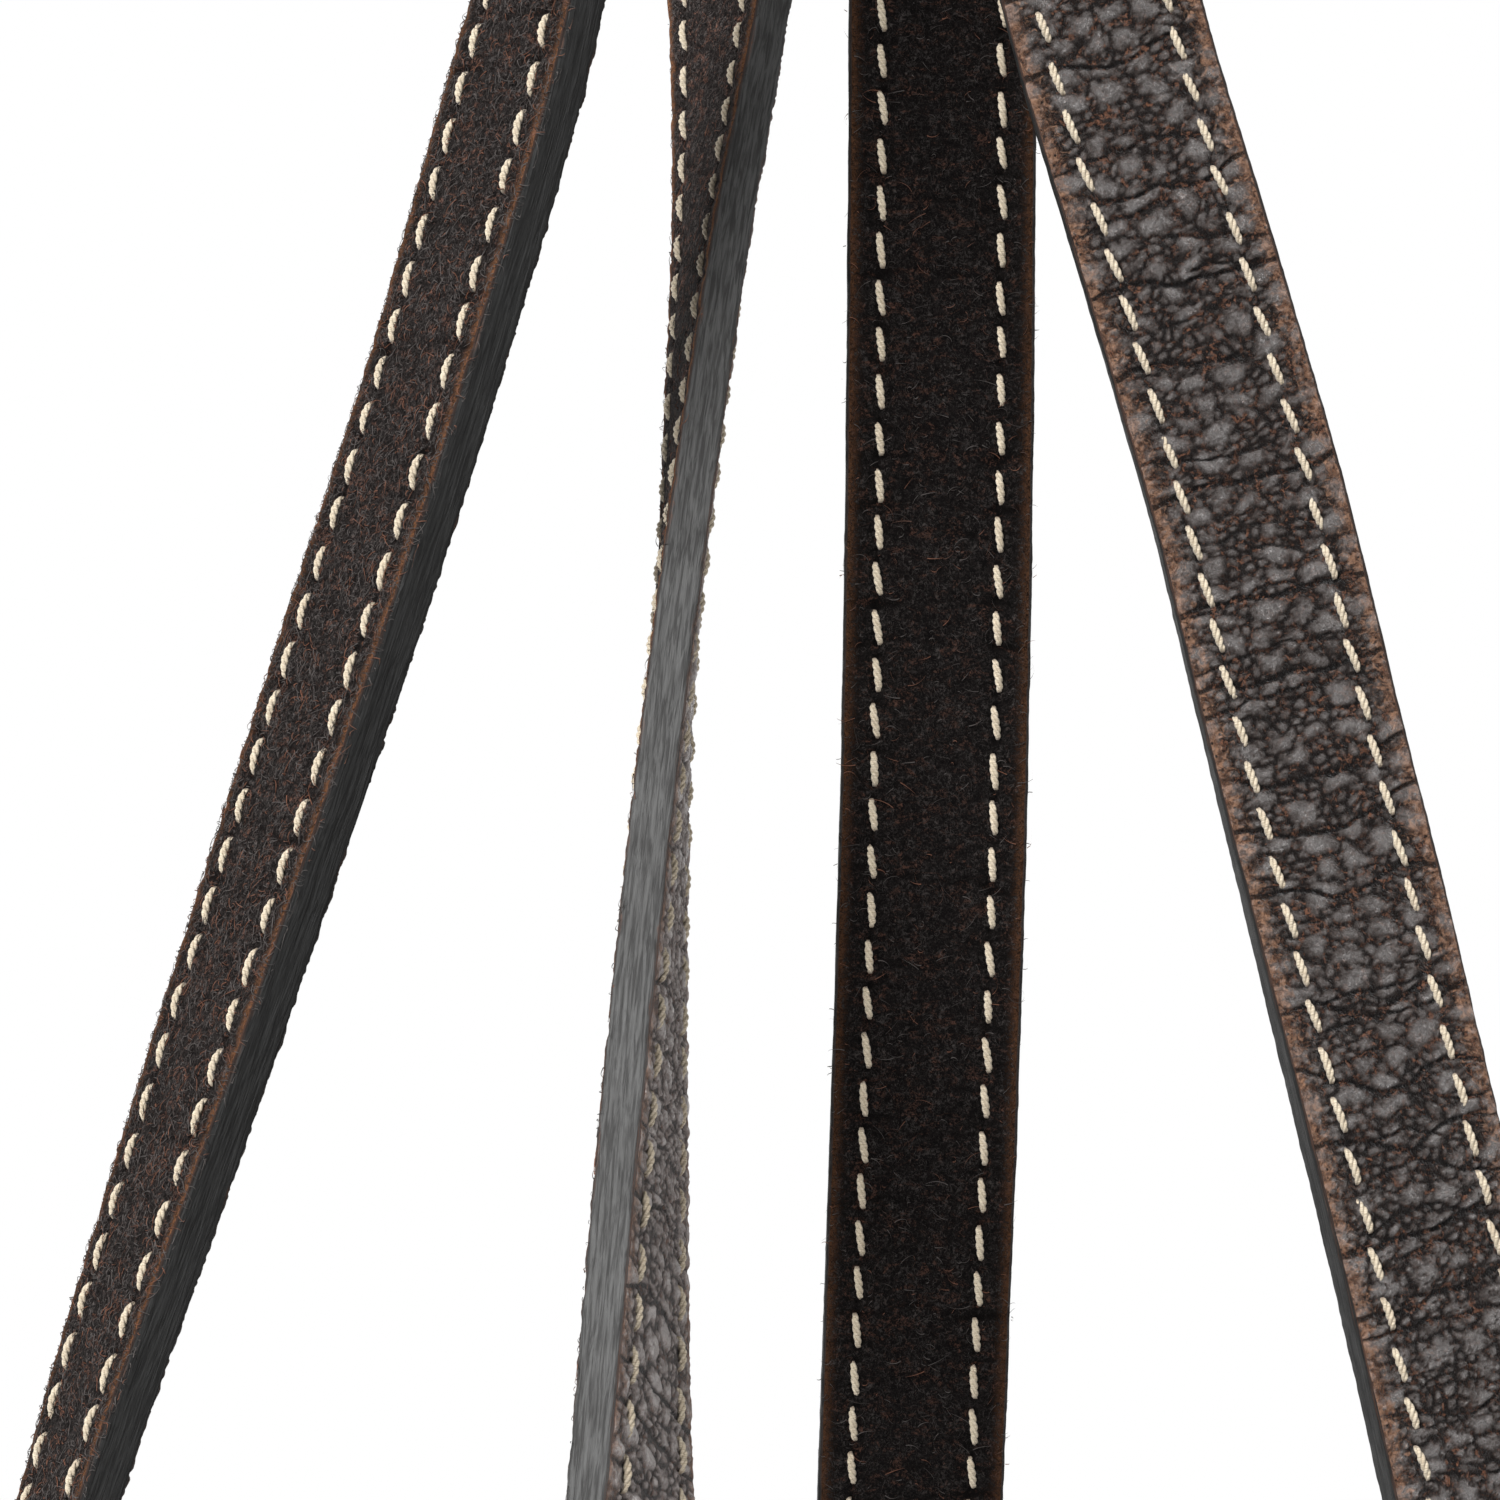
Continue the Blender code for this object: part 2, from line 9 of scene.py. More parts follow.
import bmesh
import bpy
import numpy as np
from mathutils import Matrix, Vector


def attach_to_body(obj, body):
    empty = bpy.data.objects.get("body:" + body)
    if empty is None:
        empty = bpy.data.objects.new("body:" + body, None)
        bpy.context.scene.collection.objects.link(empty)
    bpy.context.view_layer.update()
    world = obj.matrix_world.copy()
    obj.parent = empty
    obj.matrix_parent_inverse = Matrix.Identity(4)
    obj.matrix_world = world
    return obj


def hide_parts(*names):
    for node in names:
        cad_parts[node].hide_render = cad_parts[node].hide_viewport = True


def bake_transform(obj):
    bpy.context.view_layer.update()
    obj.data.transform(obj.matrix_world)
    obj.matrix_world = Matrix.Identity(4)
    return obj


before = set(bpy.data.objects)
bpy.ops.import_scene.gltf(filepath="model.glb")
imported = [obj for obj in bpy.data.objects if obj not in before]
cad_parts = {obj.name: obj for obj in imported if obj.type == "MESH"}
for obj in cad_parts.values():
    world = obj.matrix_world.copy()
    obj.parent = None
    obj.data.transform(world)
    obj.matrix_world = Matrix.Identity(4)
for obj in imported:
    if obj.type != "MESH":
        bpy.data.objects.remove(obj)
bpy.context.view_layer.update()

MM = 0.001

# ---- dimensions shared with the CAD part (mm) ----
STRAP_WIDTH = 16.0
PLY = 1.65  # thickness of one ply of leather
GLUE_GAP = 0.3  # clearance kept between pieces that touch
SEAM_OFFSET = 5.1  # seam line from the middle of the strap
PEG_RADIUS = 10.0
HALF_SPACING = 9.5  # from the middle of the peg to a fold's middle
HALF = STRAP_WIDTH / 2
THICK = PLY + GLUE_GAP / 2  # half the thickness of the two plies together
FOLD_RADIUS = PEG_RADIUS + THICK
BEND_Z = -330.0  # height where the lower part of a bit strand bends
BUCKLE_Z = -400.0  # end of the right rein's two plies
POINT_Y = 58.0 + 3.95

# ---- joints' soft lengths, close-up zone and mesh spacing (mm) ----
FOLD_BLEND = 24.0  # below the peg, the lower end of the span given for the fold's joint
BEND_BLEND = 14.0  # above and below the bend
CLOSE_TOP, CLOSE_BOTTOM = -84.0, -246.0
OVERLAP = 0.2  # between two lengths of one strand
FINE, MEDIUM, COARSE = 0.17, 0.55, 1.1

# ---- surface of the leather and its thread (mm) ----
CORNER_RADIUS = 0.55  # rounding of the strap's long edges
PEBBLE_RISE = 0.34
GRAIN_FOLD_DROP, FLESH_FOLD_DROP = 0.10, 0.12
FURROW_DROP, HOLE_DROP, PULL_DROP = 0.10, 0.22, 0.09
GRAIN_SINK, FLESH_SINK, EDGE_SINK = 0.17, 0.05, 0.05
WRINKLED_FROM = 212.0  # grain below this length is more cracked
SHEEN_FROM, SHEEN_TO = (30, 80), (275, 330)  # where a painted sheen (painted light above 1) comes in and goes out
STITCH_PITCH = 4.0
STITCH_LENGTH = 2.95
STITCH_RISE, STITCH_BURIED = 0.46, 0.42
YARN_RADIUS, YARN_OFFSET, YARN_TWIST = 0.18, 0.185, 1.45  # one of a stitch's three yarns
PLAIN_THREAD_RADIUS = 0.34  # of a stitch seen from far away, made of one yarn

FACES = (-1, 1)  # grain side, flesh side
BOTH = 2  # as the finest side of a strap_mesh
Look = namedtuple("Look", "grain flesh edge slant")  # painted light and shade of grain, flesh and edge; slant of the flesh's creases

LEFT_BIT_ROUTE = [
    (-9.5, -FOLD_RADIUS, -PEG_RADIUS, 90, 0), (-9.9, -12.1, -28, 103, 0),
    (-14.0, -12.4, -62, 160, 0), (-23.6, -13.0, -104.5, 214, 0),
    (-31.8, -16.8, -135.1, 215, 0), (-40.7, -19.7, -163.5, 214, 0),
    (-50.0, -23.4, -193.1, 210, 0), (-58.4, -26.5, -220.3, 203, 0),
    (-66.6, -27.5, -252, 193, 0), (-72.8, -26.0, -287, 184, 0),
    (-75.4, -22.5, -318, 180, 0), (-75.8, -18.5, -350, 180, 0), (-75.8, -15.0, -385, 180, 0),
    (-75.8, -14.0, -415, 180, 0), (-75.8, -14.0, -445, 180, 0), (-75.8, -14.0, -480, 180, 0),
]
RIGHT_BIT_ROUTE = [
    (9.5, -FOLD_RADIUS, -PEG_RADIUS, 90, 0), (10.2, -10.6, -34, 88, 0),
    (15.0, -4.6, -70, 86, 0), (21.9, -1.0, -102.3, 85, 0),
    (28.8, -1.0, -125.8, 86, 0), (33.3, -1.5, -141.5, 88, 0),
    (38.4, -3.7, -163.5, 91, 0), (41.9, -6.4, -179.2, 96, 0),
    (45.2, -9.0, -194.4, 101, 0), (48.6, -10.4, -209.5, 103, 0),
    (51.4, -11.7, -223, 104, 0), (57.2, -13.0, -255, 100, 0),
    (61.2, -14.0, -290, 93, 0), (62.5, -14.0, -322, 90, 0),
    (62.6, -14.0, -360, 90, 0), (62.6, -14.0, -560, 90, 0), (62.6, -14.0, -760, 90, 0),
]
RIGHT_HAND_ROUTE = [
    (9.5, FOLD_RADIUS, -PEG_RADIUS, 270, 0), (9.5, 12.0, -60, 270, 0),
    (9.5, 12.0, -113, 269, 0), (8.9, 12.0, -163.5, 269, 0),
    (8.0, 13.0, -196, 269, -2), (7.0, 16.0, -227.3, 270, -9),
    (6.8, 23.5, -256, 270, -18), (6.6, 34.0, -284, 270, -22),
    (6.6, 44.8, -308, 270, -20), (6.6, 53.4, -330, 270, -14), (6.6, 57.5, -344, 270, -5),
    (6.6, 58.0, -352, 270, 0), (6.6, 58.0, -362, 270, 0), (6.6, 58.0, BUCKLE_Z, 270, 0),
]
LEFT_HAND_ROUTE = [
    (-9.5, FOLD_RADIUS, -PEG_RADIUS, 270, 0), (-9.3, 15.5, -32, 265, 0),
    (-8.9, 23.5, -66, 240, 0), (-8.5, 22.7, -98, 213, 0),
    (-11.1, 7.5, -133, 192, 0), (-13.5, -7.7, -163.5, 180, 0),
    (-14.8, -22.9, -193.1, 167, 0), (-15.4, -35.6, -218.7, 155, 0),
    (-15.2, -48.5, -250, 128, 0), (-14.4, -57.5, -285, 102, 0),
    (-13.4, -62.5, -325, 92, 0), (-12.2, -64.0, -370, 90, 0),
    (-10.6, -61.5, -437, 90, 10), (-8.2, -49.5, -480, 90, 31),
    (-5.0, -25.0, -511, 90, 62), (-1.0, 7.0, -522, 90, 93),
    (3.0, 37.5, -509, 90, 130), (5.8, 56.0, -484, 90, 160),
    (6.6, POINT_Y, -461, 90, 178), (6.6, POINT_Y, -449, 90, 180),
]


# ---- noise ----
def hash2(ix, iy, seed):
    """Repeatable values from 0 to 1 for whole-number cells."""
    n = (ix.astype(np.int64) * 374761393 + iy.astype(np.int64) * 668265263 + seed * 2147001325)
    n = (n ^ (n >> 13)) * 1274126177
    n = n & 0xFFFFFFFF
    n = (n ^ (n >> 16)) & 0xFFFFFF
    return n / float(0xFFFFFF)


def value_noise(x, y, seed):
    ix, iy = np.floor(x), np.floor(y)
    fx, fy = x - ix, y - iy
    fx, fy = fx * fx * (3 - 2 * fx), fy * fy * (3 - 2 * fy)
    low = hash2(ix, iy, seed) * (1 - fx) + hash2(ix + 1, iy, seed) * fx
    high = hash2(ix, iy + 1, seed) * (1 - fx) + hash2(ix + 1, iy + 1, seed) * fx
    return (low * (1 - fy) + high * fy) * 2 - 1


def fbm(x, y, seed, octaves=2):
    total, size, norm = 0.0, 1.0, 0.0
    for octave in range(octaves):
        total = total + size * value_noise(x * 2**octave, y * 2**octave, seed + 17 * octave)
        norm += size
        size *= 0.5
    return total / norm


def cells(x, y, seed, jitter=0.85):
    """Distances to the nearest two cell points, and a value for the nearest cell."""
    ix, iy = np.floor(x), np.floor(y)
    f1, f2 = np.full(x.shape, 9.0), np.full(x.shape, 9.0)
    tone = np.zeros(x.shape)
    for dx in (-1, 0, 1):
        for dy in (-1, 0, 1):
            cx, cy = ix + dx, iy + dy
            px = cx + 0.5 + jitter * (hash2(cx, cy, seed) - 0.5)
            py = cy + 0.5 + jitter * (hash2(cx, cy, seed + 5) - 0.5)
            d = np.hypot(px - x, py - y)
            nearer = d < f1
            f2 = np.where(nearer, f1, np.minimum(f2, d))
            tone = np.where(nearer, hash2(cx, cy, seed + 9), tone)
            f1 = np.where(nearer, d, f1)
    return f1, f2, tone


def smooth(low, high, value):
    t = np.clip((value - low) / (high - low), 0, 1)
    return t * t * (3 - 2 * t)


# ---- routes ----
def blend_points(points, index, t):
    """Catmull-Rom rows between points index and index + 1, on chord-length knots."""
    last = len(points) - 1
    quad = [np.array(points[max(0, min(last, index + k))], float) for k in (-1, 0, 1, 2)]
    span = [max(np.linalg.norm(quad[k + 1][:3] - quad[k][:3]), 1e-6) for k in range(3)]
    if index == 0:
        span[0] = span[1]
        quad[0] = 2 * quad[1] - quad[2]
    if index + 1 == last:
        span[2] = span[1]
        quad[3] = 2 * quad[2] - quad[1]
    slopes = []
    for (a, b, c), (u, v) in ((quad[:3], span[:2]), (quad[1:], span[1:])):
        slopes.append(((c - b) / v * u + (b - a) / u * v) / (u + v))
    h, t = span[1], t[:, None]
    return ((2 * t**3 - 3 * t**2 + 1) * quad[1] + (t**3 - 2 * t**2 + t) * h * slopes[0]
            + (3 * t**2 - 2 * t**3) * quad[2] + (t**3 - t**2) * h * slopes[1])


def unit(rows):
    return rows / np.linalg.norm(rows, axis=1, keepdims=True)


def smooth_line(points, fine):
    """Dense rows through given points; every column is smoothed the same way."""
    t = np.arange(fine) / fine
    rows = [blend_points(points, i, t) for i in range(len(points) - 1)]
    return np.vstack(rows + [np.array([points[-1]], float)])


class Route:
    """A strap's middle line with its flesh side, readable at any length along it."""

    def __init__(self, points):
        rows = smooth_line(points, 48)
        self.measure(rows[:, :3])
        a, e = np.radians(rows[:, 3]), np.radians(rows[:, 4])
        self.face = np.stack([np.cos(a) * np.cos(e), np.sin(a) * np.cos(e), np.sin(e)], 1)

    def measure(self, place):
        """Keep the line's dense places, with their lengths and directions."""
        self.place = place
        step = np.linalg.norm(np.diff(place, axis=0), axis=1)
        self.s = np.concatenate([[0], np.cumsum(step)])
        self.length = self.s[-1]
        self.run = unit(np.gradient(place, self.s, axis=0))

    def read(self, table, s):
        """Rows of a table at lengths s; beyond an end the line runs on straight."""
        return np.stack([np.interp(s, self.s, table[:, k]) for k in range(3)], 1)

    def at(self, s):
        """Place, run, flesh and across rows at an array of lengths."""
        s = np.asarray(s, float)
        run = unit(self.read(self.run, s))
        beyond = (s - np.clip(s, 0, self.length))[:, None]
        place = self.read(self.place, s) + run * beyond
        flesh = self.read(self.face, s)
        flesh = unit(flesh - run * np.sum(flesh * run, axis=1, keepdims=True))
        return place, run, flesh, np.cross(run, flesh)

    def find_z(self, z):
        """Length at which the line first comes down to a height."""
        i = int(np.argmax(self.place[:, 2] <= z))
        share = (self.place[i - 1, 2] - z) / (self.place[i - 1, 2] - self.place[i, 2])
        return self.s[i - 1] + share * (self.s[i] - self.s[i - 1])


def fold_points(x, side, steps=8):
    """Quarter turn over the peg from its top down to the front (-1) or back (1) strand."""
    points = []
    for k in range(steps + 1):
        angle = pi / 2 * k / steps
        points.append((x, side * FOLD_RADIUS * sin(angle), FOLD_RADIUS * cos(angle) - PEG_RADIUS,
                       180 + 90 * side, degrees(angle) - 90))
    return points


# ---- strap surface ----
def outline(fine_side, fine, coarse, half):
    """Points round a strap: across, flesh, outward direction, face code and rim distance.

    The face code is -1 on the grain, 1 on the flesh and 0 on the painted edges.
    """
    rows = []
    half_width, half_depth = half
    radius = min(CORNER_RADIUS, half_depth * 0.45)
    span, flat = half_width - radius, 2 * (half_depth - radius)
    for side in FACES:
        points = []
        count = max(8, int(round(2 * span / (fine if fine_side in (side, BOTH) else coarse))))
        for k in range(count + 1):
            across = span * (2 * k / count - 1)
            points.append((across, half_depth, 0, 1, 1, half_width - abs(across)))
        for k in range(1, 4):
            a = pi / 2 * k / 3
            points.append((span + radius * sin(a), half_depth - radius + radius * cos(a),
                           sin(a), cos(a), k < 2, radius - radius * a))
        count = max(3, int(round(flat / (fine * 1.4))))
        for k in range(1, count):
            points.append((half_width, flat / 2 - flat * k / count, 1, 0, 0,
                           -0.5 - min(k, count - k) * flat / count))
        for k in range(3):
            a = pi / 2 * k / 3
            points.append((span + radius * cos(a), -(half_depth - radius + radius * sin(a)),
                           cos(a), -sin(a), -(k > 1), radius - radius * (pi / 2 - a)))
        rows.append(np.array(points, float) * (side, side, side, side, side, 1))
    return np.vstack(rows)


def crease_lines(w, s, seed, spacing, wander, reach_low):
    """How near each point is to a wandering line that crosses the strap (mm), and its depth."""
    shifted = s + wander * fbm(w * 0.13, s * 0.05, seed) + 0.35 * fbm(w * 0.8, s * 0.5, seed + 3)
    row = np.floor(shifted / spacing)
    near, depth = np.full(w.shape, 9.0), np.zeros(w.shape)
    for k in (-1, 0, 1):
        line = row + k
        where = (line + 0.5 + 0.7 * (hash2(line, line * 0, seed + 7) - 0.5)) * spacing
        d = np.abs(shifted - where)
        strong, length, place = [hash2(line, line * 0 + n, seed + 8) for n in (1, 2, 3)]
        reach = reach_low + 12.0 * length
        middle = (place - 0.5) * STRAP_WIDTH * 0.7
        here = strong * (1 - smooth(reach * 0.5, reach, np.abs(w - middle)))
        closer = d < near
        depth = np.where(closer, here, depth)
        near = np.where(closer, d, near)
    return near, depth


def from_gap(s):
    """Distance along the strap from the middle of the nearest gap between two stitches."""
    return np.abs((s + STITCH_PITCH / 2) % STITCH_PITCH - STITCH_PITCH / 2)


def stitch_dent(w, s, sewn):
    """Depth of the seam's furrow, and of the holes that the thread goes down, from 0 to 1."""
    off = np.abs(np.abs(w) - SEAM_OFFSET)
    from_hole = np.abs(from_gap(s) - (STITCH_PITCH - STITCH_LENGTH) / 2)
    hole = np.exp(-((off / 0.36) ** 2 + (from_hole / 0.26) ** 2))
    return sewn * np.exp(-(off / 0.55) ** 2), sewn * hole


def grain_relief(w, s, seed, sewn):
    """Height of the pebbled side, how deep in a crease each point lies, and how high on a pebble."""
    wx = w + 0.6 * fbm(w * 0.5, s * 0.5, seed + 21)
    sx = s + 0.6 * fbm(w * 0.5, s * 0.5, seed + 22)
    f1, f2, kind = cells(wx / 2.75, sx / 2.1, seed + 1)
    big = smooth(0.06, 1.75, (f2 - f1) * 2.3) * smooth(0.18, 0.34, kind)
    g1, g2, _ = cells(wx / 1.05 + 31, sx / 0.82, seed + 2)
    small = smooth(0.03, 0.68, (g2 - g1) * 0.9)
    rough = smooth(-0.3, 0.5, fbm(w * 0.1, s * 0.035, seed + 6) + (s - WRINKLED_FROM) / 160)
    crack = 1 - smooth(0.0, 0.13, np.abs(fbm(w * 0.95, s * 1.25, seed + 7, 3)))
    top = np.maximum(big, (0.66 + 0.16 * rough) * small) * (1 - (0.26 + 0.46 * rough) * crack)
    near, depth = crease_lines(w, s, seed + 3, 6.4, 2.4, 9.0)
    fold = (1 - smooth(0.10, 0.38, near)) * smooth(0.1, 0.35, depth)
    near, depth = crease_lines(w, s + 50, seed + 9, 2.9, 2.4, 2.0)
    fold = np.maximum(fold, (1 - smooth(0.05, 0.32, near)) * smooth(0.3, 0.6, depth) * 0.85)
    furrow, hole = stitch_dent(w, s, sewn)
    top = top * (1 - fold)
    rim = smooth(5.9, 7.2, np.abs(w))
    height = (PEBBLE_RISE * top - GRAIN_FOLD_DROP * fold) * (1 - 0.35 * rim)
    height = height - FURROW_DROP * furrow - HOLE_DROP * hole - GRAIN_SINK
    height += 0.07 * fbm(w * 0.22, s * 0.22, seed + 4) + 0.018 * fbm(w * 3, s * 3, seed + 5)
    deep = np.maximum(fold, 0.75 * hole)
    return height, deep, top


def flesh_relief(w, s, seed, sewn, slant):
    """Height of the fibrous side, how deep in a dent each point lies, and how raised its nap is."""
    near, depth = crease_lines(w, s + slant * w, seed + 13, 2.4, 1.4, 6.0)
    fold = (1 - smooth(0.05, 0.6, near)) * smooth(0.2, 0.8, depth)
    furrow, hole = stitch_dent(w, s, sewn)
    pull = sewn * np.exp(-(from_gap(s) / 0.6) ** 2) * smooth(2.5, 5.0, np.abs(w))
    nap = fbm(w * 1.7, s * 1.7, seed + 14, 3)
    height = 0.09 * nap + 0.07 * fbm(w * 0.35, s * 0.35, seed + 15) - FLESH_FOLD_DROP * fold
    height += -FURROW_DROP * furrow - HOLE_DROP * hole - PULL_DROP * pull - FLESH_SINK
    deep = np.clip(0.6 * fold + 0.8 * hole + 0.4 * pull, 0, 1)
    return height, deep, smooth(-0.35, 0.5, nap)


def edge_relief(f, s, seed):
    """Height of the painted edge: long fibres and the line between the plies."""
    height = 0.012 * fbm(f * 2.6, s * 0.2, seed + 31) + 0.06 * fbm(f * 0.2, s * 0.16, seed + 32)
    height += 0.02 * fbm(f * 3.0, s * 1.2, seed + 33)
    split = np.exp(-((f + 0.12 * fbm(s * 0.1, s * 0, seed + 34)) / 0.12) ** 2)
    return height - 0.05 * split - EDGE_SINK, 0.6 * split


def add_object(name, data):
    obj = bpy.data.objects.new(name, data)
    bpy.context.scene.collection.objects.link(obj)
    return obj


def build_mesh(name, verts, quads, mats, attributes, caps=(), codes=0):
    """A smooth mesh from arrays of points (mm), quads, material numbers and point values.

    Flat end caps, all with as many corners, take the last material.
    """
    def fill(store, key, values, kind=np.int32):
        store.foreach_set(key, np.asarray(values).astype(kind).ravel())

    mesh = bpy.data.meshes.new(name)
    mesh.vertices.add(verts.size // 3)
    fill(mesh.vertices, "co", verts * MM, np.float32)
    starts = np.arange(len(quads)) * 4
    for k in range(len(caps)):
        starts = np.append(starts, quads.size + k * len(caps[0]))
    corners = np.concatenate([quads.ravel(), *caps])
    mesh.loops.add(len(corners))
    fill(mesh.loops, "vertex_index", corners)
    mesh.polygons.add(len(starts))
    fill(mesh.polygons, "loop_start", starts)
    codes = np.zeros(len(quads)) + codes
    fill(mesh.polygons, "material_index", np.append(codes, [len(mats) - 1] * len(caps)))
    fill(mesh.polygons, "use_smooth", np.arange(len(starts)) < len(quads), bool)
    for mat in mats:
        mesh.materials.append(mat)
    for key, values in attributes.items():
        kind, field = ("FLOAT_VECTOR", "vector") if values.ndim == 2 else ("FLOAT", "value")
        fill(mesh.attributes.new(key, kind, "POINT").data, field, values, np.float32)
    mesh.update()
    mesh.validate()
    return add_object(name, mesh)


def strap_mesh(name, route, start, end, seed, spec, look, half=(HALF, THICK), relief=1.0, tip=0.0):
    """One closed length of strap; a plain fitting has less relief, and tip rounds its far end.

    spec is the finest side, its mesh step, the other side's, and the step along the strap.
    Its point values are read by the materials: strap (flat coordinates), deep (in a crease),
    tone (high on a pebble), rim (distance to the long edge) and painted_light (painted light and shade:
    a painted sheen above 1, painted shade below).
    """
    fine_side, step, coarse, along = spec
    ring_w, ring_f, out_w, out_f, ring_code, ring_rim = outline(fine_side, step, coarse, half).T
    count = max(4, int(round((end - start) / along)))
    s = np.linspace(start, end, count + 1)
    if tip:
        s = end - (end - start) * np.linspace(1, 0, count + 1) ** 1.3
    place, _, flesh, across = route.at(s)
    w, t = np.meshgrid(ring_w, s)
    f, code, rim = ring_f + 0 * w, ring_code + 0 * w, ring_rim + 0 * w
    sewn = 1.0 if half[0] == HALF and relief == 1.0 else 0.0
    high_g, deep_g, tone_g = grain_relief(w, t, seed, sewn)
    high_f, deep_f, tone_f = flesh_relief(w, t, seed, sewn, look.slant)
    high_e, deep_e = edge_relief(f, t, seed + 3 * np.sign(w).astype(int))
    fade = smooth(-0.15, 0.5, rim)
    nick = (1 - smooth(0.0, 0.8, np.abs(rim))) * 0.09 * fbm(t * 0.9, w * 0.3, seed + 41, 3)
    face = np.where(code < 0, high_g, high_f)
    height = np.where(code == 0, high_e, face * fade + (1 - fade) * high_e) + nick
    height = height * relief * (1.0 if along < MEDIUM else 0.6)
    deep = np.where(code < 0, deep_g, np.where(code > 0, deep_f, deep_e))
    tone = np.where(code < 0, tone_g, np.where(code > 0, tone_f, 0.5))
    narrow = np.ones(len(s))
    if tip:
        narrow = np.sqrt(np.clip(1 - (1 - np.clip((end - s) / tip, 0.0, 1)) ** 2, 0.06, 1))
    off_w, off_f = w * narrow[:, None] + out_w * height, f + out_f * height
    verts = place[:, None] + across[:, None] * off_w[..., None] + flesh[:, None] * off_f[..., None]
    size = len(ring_w)
    quads = tube_quads(1, count + 1, size)[:, [0, 3, 2, 1]]
    pair = np.where(np.roll(ring_code, -1) == 0, 0, ring_code)
    codes = np.tile(np.where(pair < 0, 0, np.where(pair > 0, 1, 2)), count)
    unrolled = np.where(code == 0, f + 40 * np.sign(w), w + 20 * code)
    coords = np.stack([unrolled, t, 0 * t + seed * 3.7], 2).reshape(-1, 3)
    # painted light and shade: each side's colour scaled per strand; values above 1 are a painted sheen,
    # faded in and out along the strand
    painted_light = np.where(code < 0, look.grain, np.where(code > 0, look.flesh, look.edge))
    pale = smooth(*SHEEN_FROM, t) * (1 - smooth(*SHEEN_TO, t))
    painted_light = np.where(painted_light > 1, 1 + (painted_light - 1) * pale, painted_light)
    values = {"strap": coords, "deep": deep.ravel(), "tone": tone.ravel(), "rim": rim.ravel(),
              "painted_light": painted_light.ravel()}
    caps = (np.arange(size), count * size + np.arange(size)[::-1])
    return build_mesh(name, verts, quads, [GRAIN, FLESH, EDGE], values, caps, codes)


# ---- thread ----
def tube_rows(centres, normals, sideways, radius, sides):
    """Rings of points round centre lines: arrays (lines, steps, 3) to (lines, steps, sides, 3)."""
    angle = (2 * pi * np.arange(sides) / sides)[:, None]
    out = normals[:, :, None] * np.cos(angle) + sideways[:, :, None] * np.sin(angle)
    return centres[:, :, None] + radius[..., None, None] * out


def tube_quads(lines, steps, sides):
    """Corner numbers of the quads between the rings that tube_rows makes."""
    line, i, k = np.meshgrid(np.arange(lines), np.arange(steps - 1), np.arange(sides), indexing="ij")
    n = (k + 1) % sides
    base = line * steps * sides
    return np.stack([base + i * sides + k, base + i * sides + n, base + (i + 1) * sides + n,
                     base + (i + 1) * sides + k], 3).reshape(-1, 4)


def stitches(name, route, start, end, seed, sides, detail, half_depth=THICK):
    """Every visible stitch between two lengths, as three twisted yarns each when detail is set."""
    marks = np.arange(np.ceil(start / STITCH_PITCH), np.floor(end / STITCH_PITCH)) * STITCH_PITCH
    steps, corners, yarns = (17, 7, 3) if detail else (6, 5, 1)
    offset, thick = (YARN_OFFSET, YARN_RADIUS) if detail else (0.0, PLAIN_THREAD_RADIUS)
    slack = (STITCH_PITCH - STITCH_LENGTH) / 2
    t = np.linspace(0, 1, steps)
    arch = np.sin(pi * t) ** 0.55
    verts, coords = [], []
    for side in sides:
        for seam in (-1, 1):
            r = np.random.default_rng(seed * 97 + side * 13 + seam * 5 + 40)
            longer, moved, higher, turned, bent, phase = r.normal(0, 1, (len(marks), 6)).T[..., None]
            length = STITCH_LENGTH + 0.10 * longer
            own = marks[:, None] + slack + 0.06 * moved + length * t
            place, _, flesh, across = [v.reshape(len(marks), steps, 3)
                                       for v in route.at(own.ravel())]
            lift = half_depth - STITCH_BURIED + STITCH_RISE * arch + 0.02 * higher
            slant = (0.20 + 0.04 * turned) * (0.5 - t) * 2 * side
            w = seam * SEAM_OFFSET + slant + 0.05 * bent * arch
            line = place + across * w[..., None] + flesh * (side * lift)[..., None]
            up = flesh * side
            for yarn in range(yarns):
                twist = 2 * pi * (YARN_TWIST * t + 0.3 * phase + yarn / yarns)
                apart = offset * (0.5 + 0.5 * arch)
                mid = (line + across * (apart * np.cos(twist))[..., None]
                       + up * (apart * 0.9 * np.sin(twist))[..., None])
                radius = thick * (0.55 + 0.45 * arch) * np.ones((len(marks), 1))
                rings = tube_rows(mid, up, across, radius, corners)
                verts.append(rings.reshape(-1, 3))
                flat = np.zeros(rings.shape[:3])
                shade = [flat + own[..., None], flat + t[:, None], flat + seam + 2 * side + 5 * yarn]
                coords.append(np.stack(shade, 3).reshape(-1, 3))
    quads = tube_quads(len(marks) * 2 * len(sides) * yarns, steps, corners)
    return build_mesh(name, np.vstack(verts), quads, [THREAD], {"strap": np.vstack(coords)})


